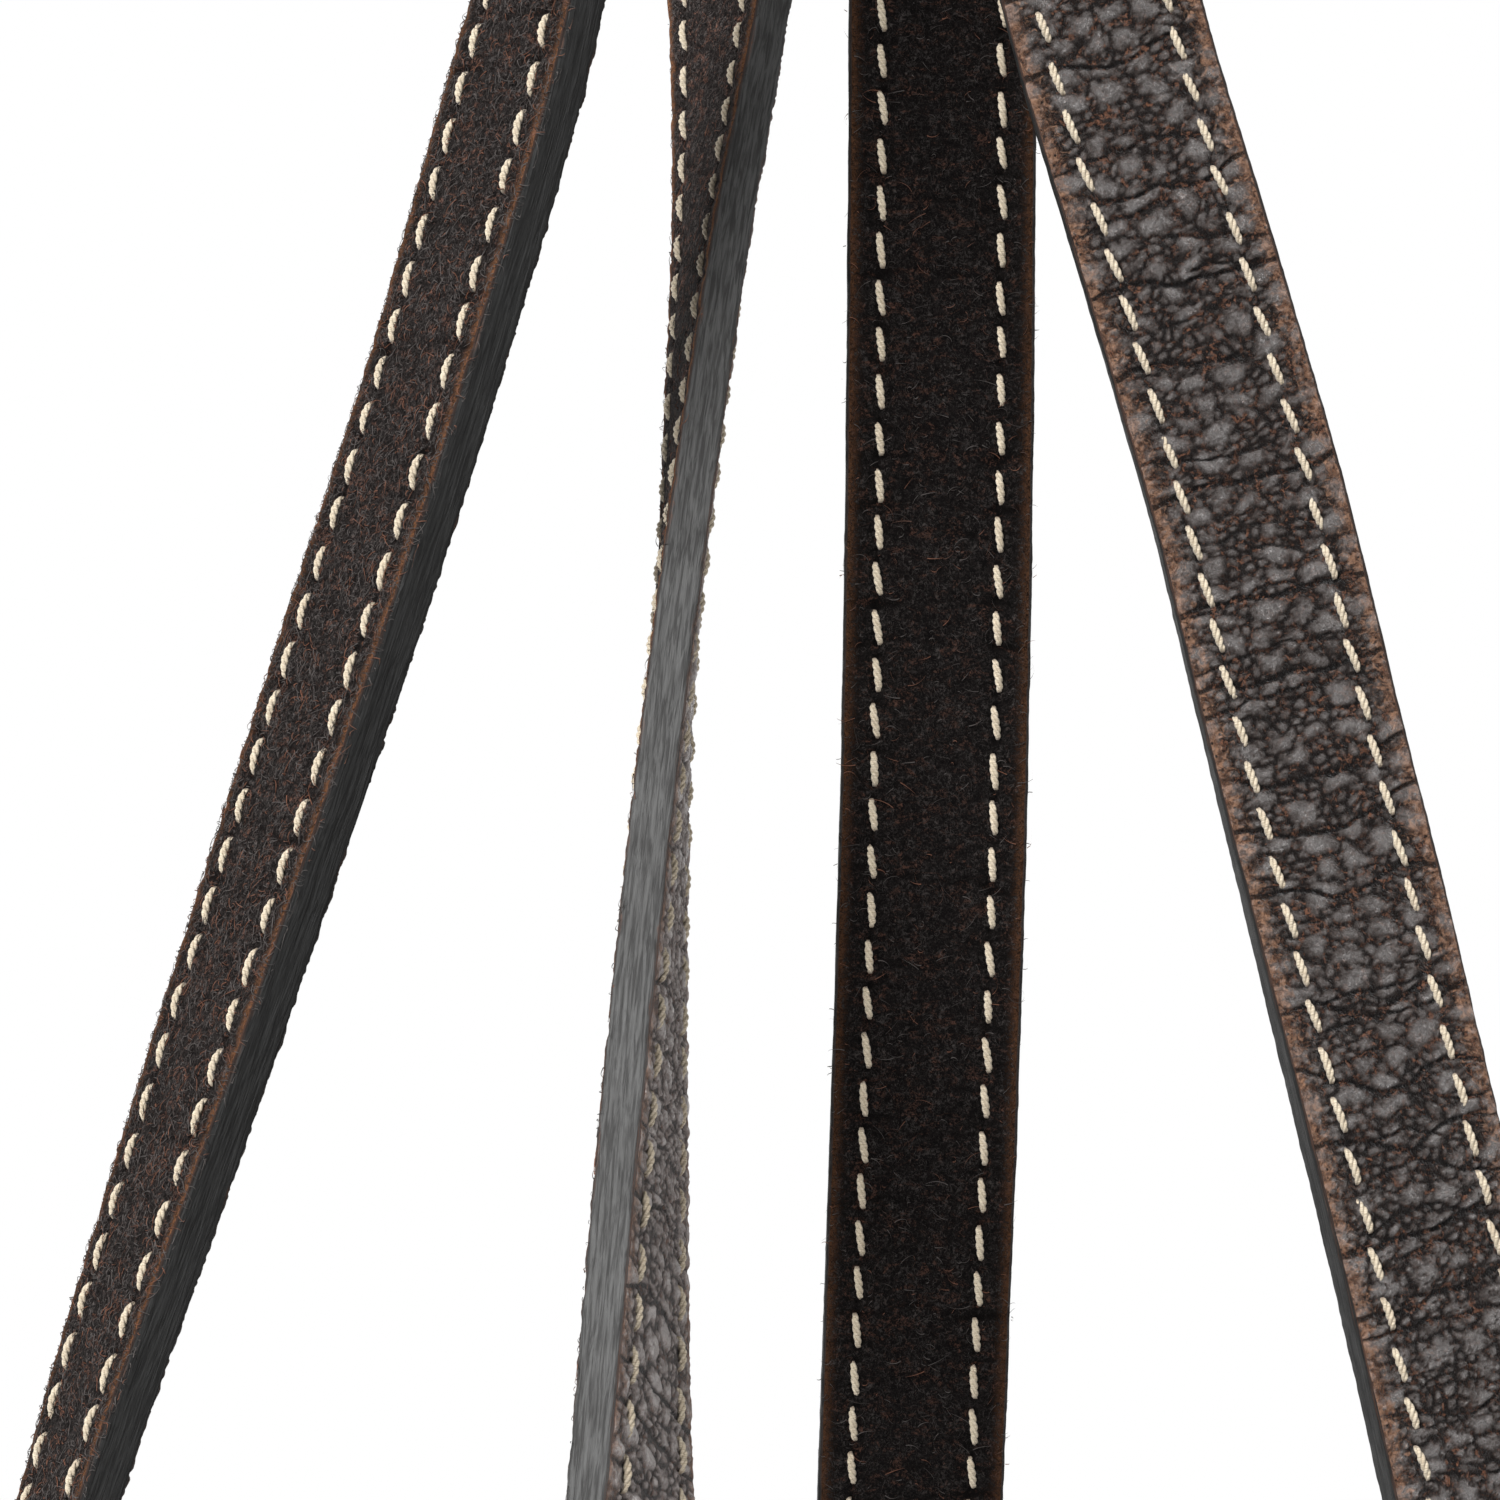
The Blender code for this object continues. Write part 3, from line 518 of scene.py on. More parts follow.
def nap_fibres(name, route, start, end, seed, side, density, rim_share=0.12):
    """Short loose fibres standing off one side of a strap, density of them to a square mm."""
    r = np.random.default_rng(seed + 700)
    count = int((end - start) * STRAP_WIDTH * density)
    steps, sides = 7, 3
    s = r.uniform(start, end, count)
    w = r.uniform(-HALF, HALF, count)
    at_rim = r.random(count) < rim_share
    w = np.where(at_rim, np.sign(w) * (HALF - np.abs(r.normal(0, 0.35, count))), w)
    heading = r.uniform(0, 2 * pi, count)
    curl = r.normal(0, 1.6, count)
    length = r.gamma(3.0, 0.36, count) * np.where(at_rim, 0.8, 1.0)
    rise = np.abs(r.normal(0, 0.10, count)) + 0.02
    t = np.linspace(0, 1, steps)[None, :]
    angle = heading[:, None] + curl[:, None] * t
    step = (length / steps)[:, None]
    ss = s[:, None] + np.cumsum(np.sin(angle), 1) * step
    ws = np.clip(w[:, None] + np.cumsum(np.cos(angle), 1) * step, -HALF - 0.35, HALF + 0.35)
    place, run, flesh, across = [v.reshape(count, steps, 3) for v in route.at(ss.ravel())]
    lift = THICK - 0.03 + rise[:, None] * np.sin(pi * np.clip(t * 1.15, 0, 1))
    lift = lift - 0.5 * smooth(HALF - 0.5, HALF + 0.3, np.abs(ws))
    mid = place + across * ws[..., None] + flesh * (side * lift)[..., None]
    radius = (0.026 + 0.022 * r.random(count))[:, None] * (1.15 - t)
    rings = tube_rows(mid, flesh, run, radius, sides)
    quads = tube_quads(count, steps, sides)
    hue = np.repeat(r.random(count), steps * sides)
    return build_mesh(name, rings, quads, [FIBRE], {"hue": hue})


# ---- materials ----
# Linear colours
# the darkest grain colour is painted shade in the pebbles' valleys; the light grey one is a painted
# sheen on their tops
GRAIN_VALLEY_SHADE, GRAIN_MID, GRAIN_TOP_SHEEN = (0.0060, 0.0036, 0.0030), (0.047, 0.036, 0.032), (0.135, 0.123, 0.119)
# the crease colour is painted shade in the creases and stitch holes
GRAIN_CREASE_SHADE, GRAIN_FLECK = (0.0026, 0.0014, 0.0012), (0.190, 0.085, 0.050)
TAN_DARK, TAN_LIGHT = (0.150, 0.076, 0.047), (0.300, 0.168, 0.106)
FLESH_DARK, FLESH_LIGHT = (0.0030, 0.0021, 0.0019), (0.0235, 0.018, 0.0168)
# the dent colour is painted shade in folds, stitch holes and stitch pulls
FLESH_HAIR, FLESH_DENT_SHADE = (0.112, 0.098, 0.093), (0.0042, 0.0024, 0.002)
RUST, FLESH_RIM = (0.165, 0.080, 0.056), (0.215, 0.095, 0.045)
EDGE_DARK, EDGE_LIGHT = (0.0135, 0.0132, 0.013), (0.0335, 0.0335, 0.033)
EDGE_SPLIT, EDGE_WORN = (0.010, 0.009, 0.0085), (0.118, 0.056, 0.036)
THREAD_DARK, THREAD_LIGHT = (0.33, 0.27, 0.19), (0.62, 0.54, 0.415)
# the thread's end colour is painted shade where it goes down its holes
THREAD_SOIL, THREAD_HOLE_SHADE = (0.36, 0.28, 0.19), (0.09, 0.055, 0.035)
FIBRE_GREY, FIBRE_DARK, FIBRE_RED = (0.075, 0.064, 0.060), (0.020, 0.014, 0.012), (0.16, 0.06, 0.03)
STEEL_DARK, STEEL_LIGHT = (0.50, 0.49, 0.47), (0.68, 0.67, 0.65)
FLOOR_GREY = (0.93, 0.93, 0.93)


class Graph:
    """Short way to build the nodes of a material or of the world."""

    def __init__(self, name, kind="materials", shader="Principled BSDF"):
        self.owner = getattr(bpy.data, kind).new(name)
        self.owner.use_nodes = True
        self.tree = self.owner.node_tree
        self.shader = self.tree.nodes[shader]

    def node(self, kind, inputs=None, **props):
        made = self.tree.nodes.new(kind)
        for key, value in props.items():
            setattr(made, key, value)
        for key, value in (inputs or {}).items():
            self.put(made.inputs[key], value)
        return made

    def put(self, socket, value):
        if isinstance(value, bpy.types.NodeSocket):
            self.tree.links.new(value, socket)
        else:
            socket.default_value = (*value, 1.0) if socket.type == "RGBA" else value

    def set(self, **values):
        for key, value in values.items():
            self.put(self.shader.inputs[key.replace("_", " ")], value)

    def attribute(self, name, output="Fac"):
        return self.node("ShaderNodeAttribute", attribute_name=name).outputs[output]

    def math(self, operation, a, b=0.0, clamp=False):
        return self.node("ShaderNodeMath", {0: a, 1: b}, operation=operation, use_clamp=clamp).outputs[0]

    def times(self, a, b, clamp=False):
        return self.math("MULTIPLY", a, b, clamp)

    def ramp(self, value, low, high, out_low=0.0, out_high=1.0, kind="SMOOTHSTEP"):
        inputs = {"Value": value, "From Min": low, "From Max": high, "To Min": out_low,
                  "To Max": out_high}
        return self.node("ShaderNodeMapRange", inputs, interpolation_type=kind).outputs["Result"]

    def ragged(self, value, noise, reach):
        """A distance pushed back and forth by a noise, so that the border it draws is ragged."""
        return self.math("ADD", value, self.times(self.math("SUBTRACT", noise, 0.5), reach))

    def stretch(self, vector, scale):
        return self.node("ShaderNodeVectorMath", {0: vector, 1: scale}, operation="MULTIPLY").outputs[0]

    def with_painted_light(self, colour):
        """A colour times the strap's painted light and shade."""
        return self.stretch(colour, self.attribute("painted_light", "Vector"))

    def noise(self, vector, scale, detail=3.0, distortion=0.0, rough=0.55):
        inputs = {"Vector": vector, "Scale": scale, "Detail": detail, "Distortion": distortion,
                  "Roughness": rough}
        return self.node("ShaderNodeTexNoise", inputs).outputs["Fac"]

    def voronoi(self, vector, scale):
        return self.node("ShaderNodeTexVoronoi", {"Vector": vector, "Scale": scale}).outputs["Distance"]

    def mix(self, factor, a, b):
        return self.node("ShaderNodeMix", {0: factor, 6: a, 7: b}, data_type="RGBA").outputs[2]

    def bump(self, height, distance, strength=1.0, normal=None):
        inputs = {"Height": height, "Distance": distance * MM, "Strength": strength}
        if normal is not None:
            inputs["Normal"] = normal
        return self.node("ShaderNodeBump", inputs).outputs["Normal"]


def grain_material():
    """Dark creased pebbles with painted sheen on their tops and painted shade in their valleys and
    creases, brown flecks, a ragged tan margin, and painted light and shade per strand.
    """
    g = Graph("bridle_leather_grain")
    where, deep, top = g.attribute("strap", "Vector"), g.attribute("deep"), g.attribute("tone")
    blotch = g.noise(where, 0.35, 3.0, 0.4)
    fine = g.noise(where, 3.0, 4.0, 0.8, 0.65)
    speck = g.noise(where, 1.3, 4.0, 1.2)
    mottle = g.noise(where, 1.5, 5.0, 0.6, 0.75)
    # painted light and shade per strand; its part below 1 also dims the flecks and the tan margin
    painted_light = g.attribute("painted_light")
    painted_shade_factor = g.math("MINIMUM", painted_light, 1.0)

    # colour follows the pebble's height: painted shade low in the valleys, a painted sheen on the tops
    height = g.times(top, g.ramp(mottle, 0.30, 0.66, 0.50, 1.15))
    height = g.times(height, g.ramp(fine, 0.25, 0.62, 0.72, 1.08))
    body = g.mix(g.ramp(height, 0.02, 0.40), GRAIN_VALLEY_SHADE, GRAIN_MID)
    body = g.mix(g.ramp(height, 0.34, 0.92), body, GRAIN_TOP_SHEEN)
    # painted shade darkens the creases and stitch holes
    body = g.with_painted_light(g.mix(g.ramp(deep, 0.3, 0.9), body, GRAIN_CREASE_SHADE))

    fleck = g.times(g.ramp(speck, 0.515, 0.60), g.ramp(fine, 0.42, 0.58))
    fleck = g.times(fleck, g.ramp(blotch, 0.35, 0.6, 0.25, 1.0))
    fleck = g.times(g.times(fleck, painted_shade_factor), g.math("MAXIMUM", g.ramp(top, 0.55, 0.12), 0.3))
    body = g.mix(g.times(fleck, 0.80), body, GRAIN_FLECK)

    margin = g.ramp(g.ragged(g.attribute("rim"), speck, 6.5), 1.75, 0.45)
    margin = g.times(g.times(margin, g.ramp(mottle, 0.30, 0.55, 0.25, 1.0)), painted_shade_factor)
    pits = g.times(g.ramp(g.voronoi(where, 1.45), 0.10, 0.24), g.ramp(deep, 0.3, 0.8, 1.0, 0.1))
    margin = g.times(margin, pits)
    tan = g.mix(g.ramp(mottle, 0.4, 0.62), TAN_DARK, TAN_LIGHT)
    body = g.mix(g.times(margin, 0.85), body, tan)

    rough = g.math("ADD", g.ramp(height, 0.1, 0.8, 0.66, 0.25), g.times(margin, 0.2), clamp=True)
    shine = g.times(g.ramp(height, 0.12, 0.7, 0.10, 1.0), painted_light, clamp=True)
    wrinkle = g.noise(g.stretch(where, (1.3, 1.0, 1.0)), 1.35, 5.0, 1.8, 0.68)
    relief = g.bump(g.voronoi(where, 5.5), 0.05, 0.6, g.bump(wrinkle, 0.60))
    g.set(Base_Color=body, Roughness=rough, Normal=relief, Specular_IOR_Level=shine,
          Sheen_Weight=0.18, Sheen_Roughness=0.3)
    return g.owner


def curls(g, where, scale, width, warp):
    """Thin curly lines: where a smooth noise crosses its middle value."""
    level = g.math("ABSOLUTE", g.math("SUBTRACT", g.noise(where, scale, 1.5, warp, 0.5), 0.5))
    return g.ramp(level, width, width * 0.25)


def flesh_material():
    """Almost black felt of curly fibres, rusty in patches and along its rubbed rim, with painted shade
    in its dents and stitch holes and painted light and shade per strand.
    """
    g = Graph("bridle_leather_flesh")
    where, deep, nap = g.attribute("strap", "Vector"), g.attribute("deep"), g.attribute("tone")
    fine = g.noise(where, 3.0, 4.0, 1.5, 0.7)
    hairs = g.math("MAXIMUM", curls(g, where, 1.25, 0.045, 0.8),
                   curls(g, g.stretch(where, (1.3, 0.8, 1.0)), 1.9, 0.05, 1.4))
    hairs = g.times(hairs, g.ramp(fine, 0.36, 0.58))
    body = g.mix(g.ramp(fine, 0.38, 0.66), FLESH_DARK, FLESH_LIGHT)
    body = g.mix(g.times(hairs, g.ramp(nap, 0.0, 0.8, 0.35, 1.0)), body, FLESH_HAIR)
    # painted shade darkens the folds, stitch holes and stitch pulls
    body = g.mix(g.ramp(deep, 0.25, 0.95, 0.0, 0.85), body, FLESH_DENT_SHADE)

    rust = g.noise(g.stretch(where, (1.0, 1.5, 1.0)), 0.55, 5.0, 1.2, 0.7)
    hot = g.math("MAXIMUM", hairs, g.ramp(fine, 0.52, 0.62))
    body = g.mix(g.times(g.ramp(rust, 0.51, 0.63), hot), body, RUST)
    rubbed = g.ramp(g.ragged(g.attribute("rim"), fine, 4.2), 1.25, 0.35)
    rubbed = g.times(rubbed, g.ramp(fine, 0.36, 0.52, 0.2, 1.0))
    body = g.with_painted_light(g.mix(g.times(rubbed, 0.9), body, FLESH_RIM))
    relief = g.bump(hairs, 0.06, 0.6, g.bump(fine, 0.30))
    g.set(Base_Color=body, Roughness=0.85, Normal=relief, Specular_IOR_Level=0.08)
    return g.owner


def edge_material():
    """Painted edge with long fine lines, worn to brown along its corners, with painted light and shade
    per strand.
    """
    g = Graph("painted_edge")
    where = g.attribute("strap", "Vector")
    lines = g.noise(g.stretch(where, (2.6, 0.16, 1.0)), 1.6, 4.0, 0.6, 0.62)
    patch = g.noise(where, 0.22, 3.0, 0.3)
    body = g.mix(g.ramp(lines, 0.38, 0.62), EDGE_DARK, EDGE_LIGHT)
    body = g.with_painted_light(g.mix(g.ramp(g.attribute("deep"), 0.2, 0.7, 0.0, 0.5), body, EDGE_SPLIT))

    worn = g.ramp(g.ragged(g.attribute("rim"), patch, 1.4), -0.05, 0.3, 0.0, 0.85)
    worn = g.times(worn, g.math("MINIMUM", g.attribute("painted_light"), 1.0))
    worn = g.times(worn, g.ramp(g.noise(where, 0.8, 4.0, 0.8, 0.65), 0.38, 0.60, 0.30, 1.15))
    g.set(Base_Color=g.mix(worn, body, EDGE_WORN), Roughness=g.ramp(patch, 0.3, 0.7, 0.5, 0.65),
          Normal=g.bump(lines, 0.16, 0.9), Specular_IOR_Level=0.2)
    return g.owner


def thread_material():
    """Cream thread, soiled in places, with painted shade where it goes down its holes."""
    g = Graph("linen_thread")
    where = g.attribute("strap", "Vector")
    strands = g.noise(g.stretch(where, (9.0, 26.0, 3.0)), 1.0, 3.0, 0.5)
    soil = g.noise(g.stretch(where, (0.5, 1.0, 1.0)), 1.0, 3.0, 0.3)
    body = g.mix(g.ramp(strands, 0.3, 0.7), THREAD_DARK, THREAD_LIGHT)
    body = g.mix(g.ramp(soil, 0.5, 0.75, 0.0, 0.45), body, THREAD_SOIL)
    along = g.node("ShaderNodeSeparateXYZ", {0: where}).outputs["Y"]
    from_middle = g.math("ABSOLUTE", g.math("SUBTRACT", along, 0.5))
    # painted shade at both ends of a stitch, where it sinks into its holes
    body = g.mix(g.ramp(from_middle, 0.40, 0.5, 0.0, 0.75), body, THREAD_HOLE_SHADE)
    g.set(Base_Color=body, Roughness=0.75, Normal=g.bump(strands, 0.05, 0.7), Sheen_Weight=0.25)
    return g.owner


def fibre_material():
    """Loose fibres: grey, dark brown and a few red ones, one shade to a fibre."""
    g = Graph("leather_fibre")
    hue = g.attribute("hue")
    body = g.mix(g.ramp(hue, 0.45, 0.55), FIBRE_GREY, FIBRE_DARK)
    g.set(Base_Color=g.mix(g.ramp(hue, 0.80, 0.84), body, FIBRE_RED), Roughness=0.7)
    return g.owner


def steel_material():
    """Polished steel with a light haze and fine scratches."""
    g = Graph("stainless_steel")
    where = g.node("ShaderNodeTexCoord").outputs["Object"]
    scratch = g.noise(g.stretch(where, (1.0, 1.0, 0.2)), 2600.0, 3.0, 0.4)
    haze = g.noise(where, 240.0, 3.0, 0.2)
    g.set(Base_Color=g.mix(g.ramp(haze, 0.35, 0.7), STEEL_DARK, STEEL_LIGHT), Metallic=1.0,
          Roughness=g.ramp(haze, 0.3, 0.75, 0.16, 0.34), Normal=g.bump(scratch, 0.02, 0.4))
    return g.owner


GRAIN, FLESH, EDGE = grain_material(), flesh_material(), edge_material()
THREAD, FIBRE, STEEL = thread_material(), fibre_material(), steel_material()


# ---- strands ----
PLIES = ("_outer_ply", "_lining_ply")
SEWING = ("_grain_stitching", "_flesh_stitching")


def attach(piece, body, prefix=None, kinds=("",)):
    """A piece rides on a body, or keeps its world place when given a joint, and stands for prefix + kind
    CAD nodes.
    """
    if isinstance(body, tuple):
        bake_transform(piece)
    else:
        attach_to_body(piece, body)
    if prefix:
        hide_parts(*[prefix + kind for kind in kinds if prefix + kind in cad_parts])


def build_strand(side, strand, points, front, body, seed, fine_side, nap, look):
    """One hanging strand from the top of the fold to its end, in three lengths."""
    facing = -1 if front else 1
    turn = fold_points(-HALF_SPACING if side == "left" else HALF_SPACING, facing)
    name = "%s_%s" % (side, strand)
    whole = Route(turn + list(points[1:]))
    top, bottom, end = whole.find_z(CLOSE_TOP), whole.find_z(CLOSE_BOTTOM), whole.length
    hinge_y = facing * (FOLD_RADIUS * MM)
    upper, lower = ("folds", body, (0, hinge_y, 0.0), (0, hinge_y, -FOLD_BLEND * MM)), body
    if front:
        bend = whole.at([whole.find_z(BEND_Z)])[0][0] * MM
        reach = np.array([0, 0, BEND_BLEND * MM])
        lower = (body, side + "_bit_end", tuple(bend + reach), tuple(bend - reach))

    # part, span of the strap and of its thread, mesh spacing, body, prefix of its CAD nodes
    lengths = (
        ("_fold", (0.0, top + OVERLAP), (0.0, top), (BOTH, 0.8, 0.8, 0.8), upper, side + "_fold"),
        ("", (top, bottom), (top, bottom), (fine_side, FINE, MEDIUM, FINE * 1.05), body, name),
        ("_lower", (bottom - OVERLAP, end), (bottom, end - 1.0),
         (BOTH, COARSE * 0.8, COARSE * 0.8, COARSE), lower, side + "_bit_end"))
    for part, strap_span, thread_span, spacing, rides, prefix in lengths:
        close = part == ""
        strap = strap_mesh(name + part, whole, *strap_span, seed, spacing, look)
        thread = stitches(name + part + "_thread", whole, *thread_span, seed, FACES, close)
        if not (front or close):
            prefix = None
        attach(strap, rides, prefix, PLIES)
        attach(thread, rides, prefix, SEWING)
        if close and nap:
            fuzz = nap_fibres(name + "_nap", whole, top, bottom, seed, 1, nap)
            attach(fuzz, body)
    return whole


# Look values are painted light and shade: a painted sheen on the left hand strand's grain and edge,
# painted shade on the right hand strand and on the bit strands' flesh and edges
left_bit = build_strand("left", "bit_strand", LEFT_BIT_ROUTE, True, "left_bit_strand", 11, 1, 3.6,
                        Look(1.0, 0.92, 0.6, 0.0))
right_bit = build_strand("right", "bit_strand", RIGHT_BIT_ROUTE, True, "right_bit_strand", 23, -1, 0,
                         Look(1.0, 0.8, 0.75, 0.0))
build_strand("left", "hand_strand", LEFT_HAND_ROUTE, False, "centre_loop", 37, BOTH, 0.5,
             Look(4.2, 1.4, 2.4, 0.7))
right_hand = build_strand("right", "hand_strand", RIGHT_HAND_ROUTE, False, "centre_loop", 51, 1, 0.5,
                          Look(0.8, 0.42, 0.34, 0.0))


# ---- fittings ----
# Places are across, flesh and run from the end of a strand's plies; "height" is minus flesh
BAR_RADIUS = 1.5
FRAME_LENGTH = 21.0  # heel bar to toe bar
FRAME_HALF_WIDTH = 10.2
FRAME_CORNER = 2.6
TONGUE_RADIUS = 1.0
TONGUE_GAP = 0.25
CHAPE_PLY = 1.5
CHAPE_BACK = 3.3  # flesh position of the chape's tail
POINT_PLY = 3.0
POINT_LIFT = 2.55  # heel bar's top to the point's lower face
POINT_FROM, POINT_TO = 49.0 - GLUE_GAP, -58.0
HEEL_DROP = 12.0  # heel bar below the end of the plies
HEEL = -1.6  # its height
KEEPER_WALL = 1.5
KEEPER_LENGTH = 8.0
KEEPER_CORNER = 1.2
KEEPER_SLACK = 0.9
BILLET_PLY = 2.6
BILLET_WIDTH = 14.0
BILLET_GAP = 0.7  # between the plies and the billet's tail
BIT_LOOP_RADIUS = 7.0
BIT_LOOP_DROP = 38.0  # its middle below the end of the plies
STUD_DROP = -14.0  # hook stud above that end
STUD_RADIUS = 1.4
# Half width and half length of each kind of hole
CHAPE_SLOT, USED_HOLE, SPARE_HOLE, BILLET_SLIT = (1.6, 7.0), (1.7, 5.0), (1.2, 2.2), (1.8, 4.5)
FITTING_SPACING = (BOTH, 0.32, 0.32, 0.34)
# these values scale the fittings' colours darker
FITTING_LOOK = Look(0.7, 0.7, 0.55, 0.0)
FITTING_RELIEF = 0.4


class Base:
    """Where a strand's plies end: fittings are placed across, along flesh and along run from it."""

    def __init__(self, route):
        self.place, self.run, self.flesh, self.across = [v[0] for v in route.at([route.length])]

    def point(self, across, flesh, run):
        return self.place + self.across * across + self.flesh * flesh + self.run * run

    def line(self, points, drop=0.0):
        """Places of (run, flesh) points in the plane halfway across the strap."""
        return [self.point(0, f, drop + u) for u, f in points]


class Path(Route):
    """A fitting's middle line through given points, keeping one direction across."""

    def __init__(self, points, across, fine=24):
        self.measure(smooth_line(points, fine))
        self.face = unit(np.cross(across, self.run))


def flat_path(base, points, across=None):
    """A path through (run, flesh) points; its width lies across the strap."""
    return Path(base.line(points), base.across if across is None else across)


def arc(centre, radius, angles):
    """Points on a circle in the plane of run and flesh, at angles in degrees."""
    return [(centre[0] + radius * cos(radians(a)), centre[1] + radius * sin(radians(a))) for a in angles]


def fitting(node, path, half_width, half_depth, body, seed, tip=0.0, ending="_leather"):
    """A plain strip of leather along a path, for one CAD node."""
    piece = strap_mesh(node + ending, path, 0.0, path.length, seed, FITTING_SPACING, FITTING_LOOK,
                       (half_width, half_depth), FITTING_RELIEF, tip)
    attach(piece, body, node)
    return piece


def keeper(base, start, low, high, body, seed, node):
    """A leather loop round the straps; its ends butt together behind."""
    half_width = HALF + GLUE_GAP + KEEPER_WALL / 2
    low, high = low - KEEPER_WALL / 2, high + KEEPER_WALL / 2
    points = [(0.0, high)]
    for a, f, turn in ((1, high, 90), (1, low, 0), (-1, low, -90), (-1, high, -180)):
        inwards = -KEEPER_CORNER if f == high else KEEPER_CORNER
        middle = (a * (half_width - KEEPER_CORNER), f + inwards)
        points += arc(middle, KEEPER_CORNER, [turn - 30 * k for k in range(4)])
    points.append((-0.06, high))
    middle = start + KEEPER_LENGTH / 2
    path = Path([base.point(a, f, middle) for a, f in points], base.run, 10)
    fitting(node, path, KEEPER_LENGTH / 2, KEEPER_WALL / 2, body, seed, 0.0, "_loop")


def cut_hole(piece, base, run, flesh, size, sides=28):
    """Cut an oval hole through a piece, from one flesh position to the other."""
    half_width, half_length = size
    loop = []
    for k in range(sides):
        angle = 2 * pi * (k + 0.5) / sides
        shift = (half_length - half_width) * (1 if sin(angle) > 0 else -1)
        loop.append((half_width * cos(angle), half_width * sin(angle) + shift))
    verts = [Vector(base.point(a, f, run + u) * MM) for f in flesh for a, u in loop]
    faces = [tuple(range(sides))[::-1], tuple(range(sides, 2 * sides))]
    faces += [(k, (k + 1) % sides, sides + (k + 1) % sides, sides + k) for k in range(sides)]
    mesh = bpy.data.meshes.new("cutter")
    mesh.from_pydata(verts, [], faces)
    bm = bmesh.new()
    bm.from_mesh(mesh)
    bmesh.ops.recalc_face_normals(bm, faces=bm.faces)
    bm.to_mesh(mesh)
    bm.free()
    mesh.materials.append(EDGE)
    cutter = add_object("cutter", mesh)
    cut = piece.modifiers.new("hole", "BOOLEAN")
    cut.operation, cut.solver, cut.object = "DIFFERENCE", "EXACT", cutter
    cut.material_mode = "TRANSFER"
    bpy.context.view_layer.update()
    graph = bpy.context.evaluated_depsgraph_get()
    result = bpy.data.meshes.new_from_object(piece.evaluated_get(graph))
    piece.modifiers.clear()
    piece.data = result
    bpy.data.objects.remove(cutter)


def rod(node, ending, places, radii, side, body, closed=False, sides=20):
    """A round bar along dense places in one plane; side is the plane's normal direction."""
    places, radii = np.asarray(places), np.asarray(radii, float)
    if closed:
        run = unit(np.roll(places, -1, 0) - np.roll(places, 1, 0))
    else:
        run = unit(np.gradient(places, axis=0))
    side = np.broadcast_to(side, places.shape)
    normal = unit(np.cross(run, side))
    rings = tube_rows(places[None], normal[None], np.cross(normal, run)[None], radii[None], sides)
    rows, k = len(places), np.arange(sides)
    last = (rows - 1) * sides
    quads, caps = tube_quads(1, rows, sides), (k[::-1], last + k)
    if closed:
        n = (k + 1) % sides
        quads, caps = np.vstack([quads, np.stack([last + k, last + n, n, k], 1)]), ()
    piece = build_mesh(node + ending, rings, quads, [STEEL], {}, caps)
    attach(piece, body, node)
    return piece


def round_end(rows, radius):
    """Radii along a bar of one thickness whose far end is rounded off."""
    left = np.linalg.norm(rows - rows[-1], axis=1)
    return radius * np.sqrt(np.clip(1 - (1 - np.clip(left / radius, 0, 1)) ** 2, 0.03, 1))


# ---- buckle ----
POINT_MID = HEEL + BAR_RADIUS + POINT_LIFT + POINT_PLY / 2
TOE = POINT_MID + POINT_PLY / 2 + GLUE_GAP + BAR_RADIUS


def build_chape(base):
    """Leather that turns round the heel bar, with the slot for the tongue and its own seam."""
    turn = BAR_RADIUS + GLUE_GAP + CHAPE_PLY / 2
    line = [(GLUE_GAP, -(HEEL + turn)), (6.0, -(HEEL + turn))]
    line += arc((HEEL_DROP, -HEEL), turn, range(-90, 91, 30))
    line += [(6.0, CHAPE_BACK + 0.2), (-2.0, CHAPE_BACK), (-26.0, CHAPE_BACK)]
    path = flat_path(base, line)
    chape = fitting("buckle_chape", path, HALF, CHAPE_PLY / 2, "centre_loop", 61)
    cut_hole(chape, base, HEEL_DROP, (-8.0, 12.0), CHAPE_SLOT)
    thread = stitches("buckle_chape_thread", path, path.length - 15, path.length - 2, 62, (-1,), True,
                      CHAPE_PLY / 2)
    attach(thread, "centre_loop")


def build_frame(base):
    rise = (TOE - HEEL) / FRAME_LENGTH
    ring = []
    for a, u, start in ((1, 0, -90), (1, 1, 0), (-1, 1, 90), (-1, 0, 180)):
        inwards = FRAME_CORNER if u == 0 else -FRAME_CORNER
        middle = (a * (FRAME_HALF_WIDTH - FRAME_CORNER), u * FRAME_LENGTH + inwards)
        for across, along in arc(middle, FRAME_CORNER, [start + 7.5 * k for k in range(13)]):
            ring.append(base.point(across, -(HEEL + rise * along), HEEL_DROP + along))
    normal = base.flesh + base.run * rise
    rod("buckle_frame", "_bar", ring, np.full(len(ring), BAR_RADIUS),
        normal / np.linalg.norm(normal), "buckle_frame", True, 24)


def build_tongue(base):
    """Wire curled round the heel bar; it comes up through the point and lies on the toe bar."""
    line = arc((HEEL_DROP, -HEEL), BAR_RADIUS + TONGUE_GAP + TONGUE_RADIUS, range(340, 39, -30))
    top = TOE - HEEL + BAR_RADIUS + 0.2 + TONGUE_RADIUS
    for u, g in ((4.5, 1.0), (7.2, 4.6), (9.6, 7.6), (14.0, top - 1.7), (20.5, top), (24.0, top)):
        line.append((HEEL_DROP + u, -(HEEL + g)))
    rows = smooth_line(base.line(line), 14)
    rod("buckle_tongue", "_wire", rows, round_end(rows, TONGUE_RADIUS), base.across, "buckle_tongue")


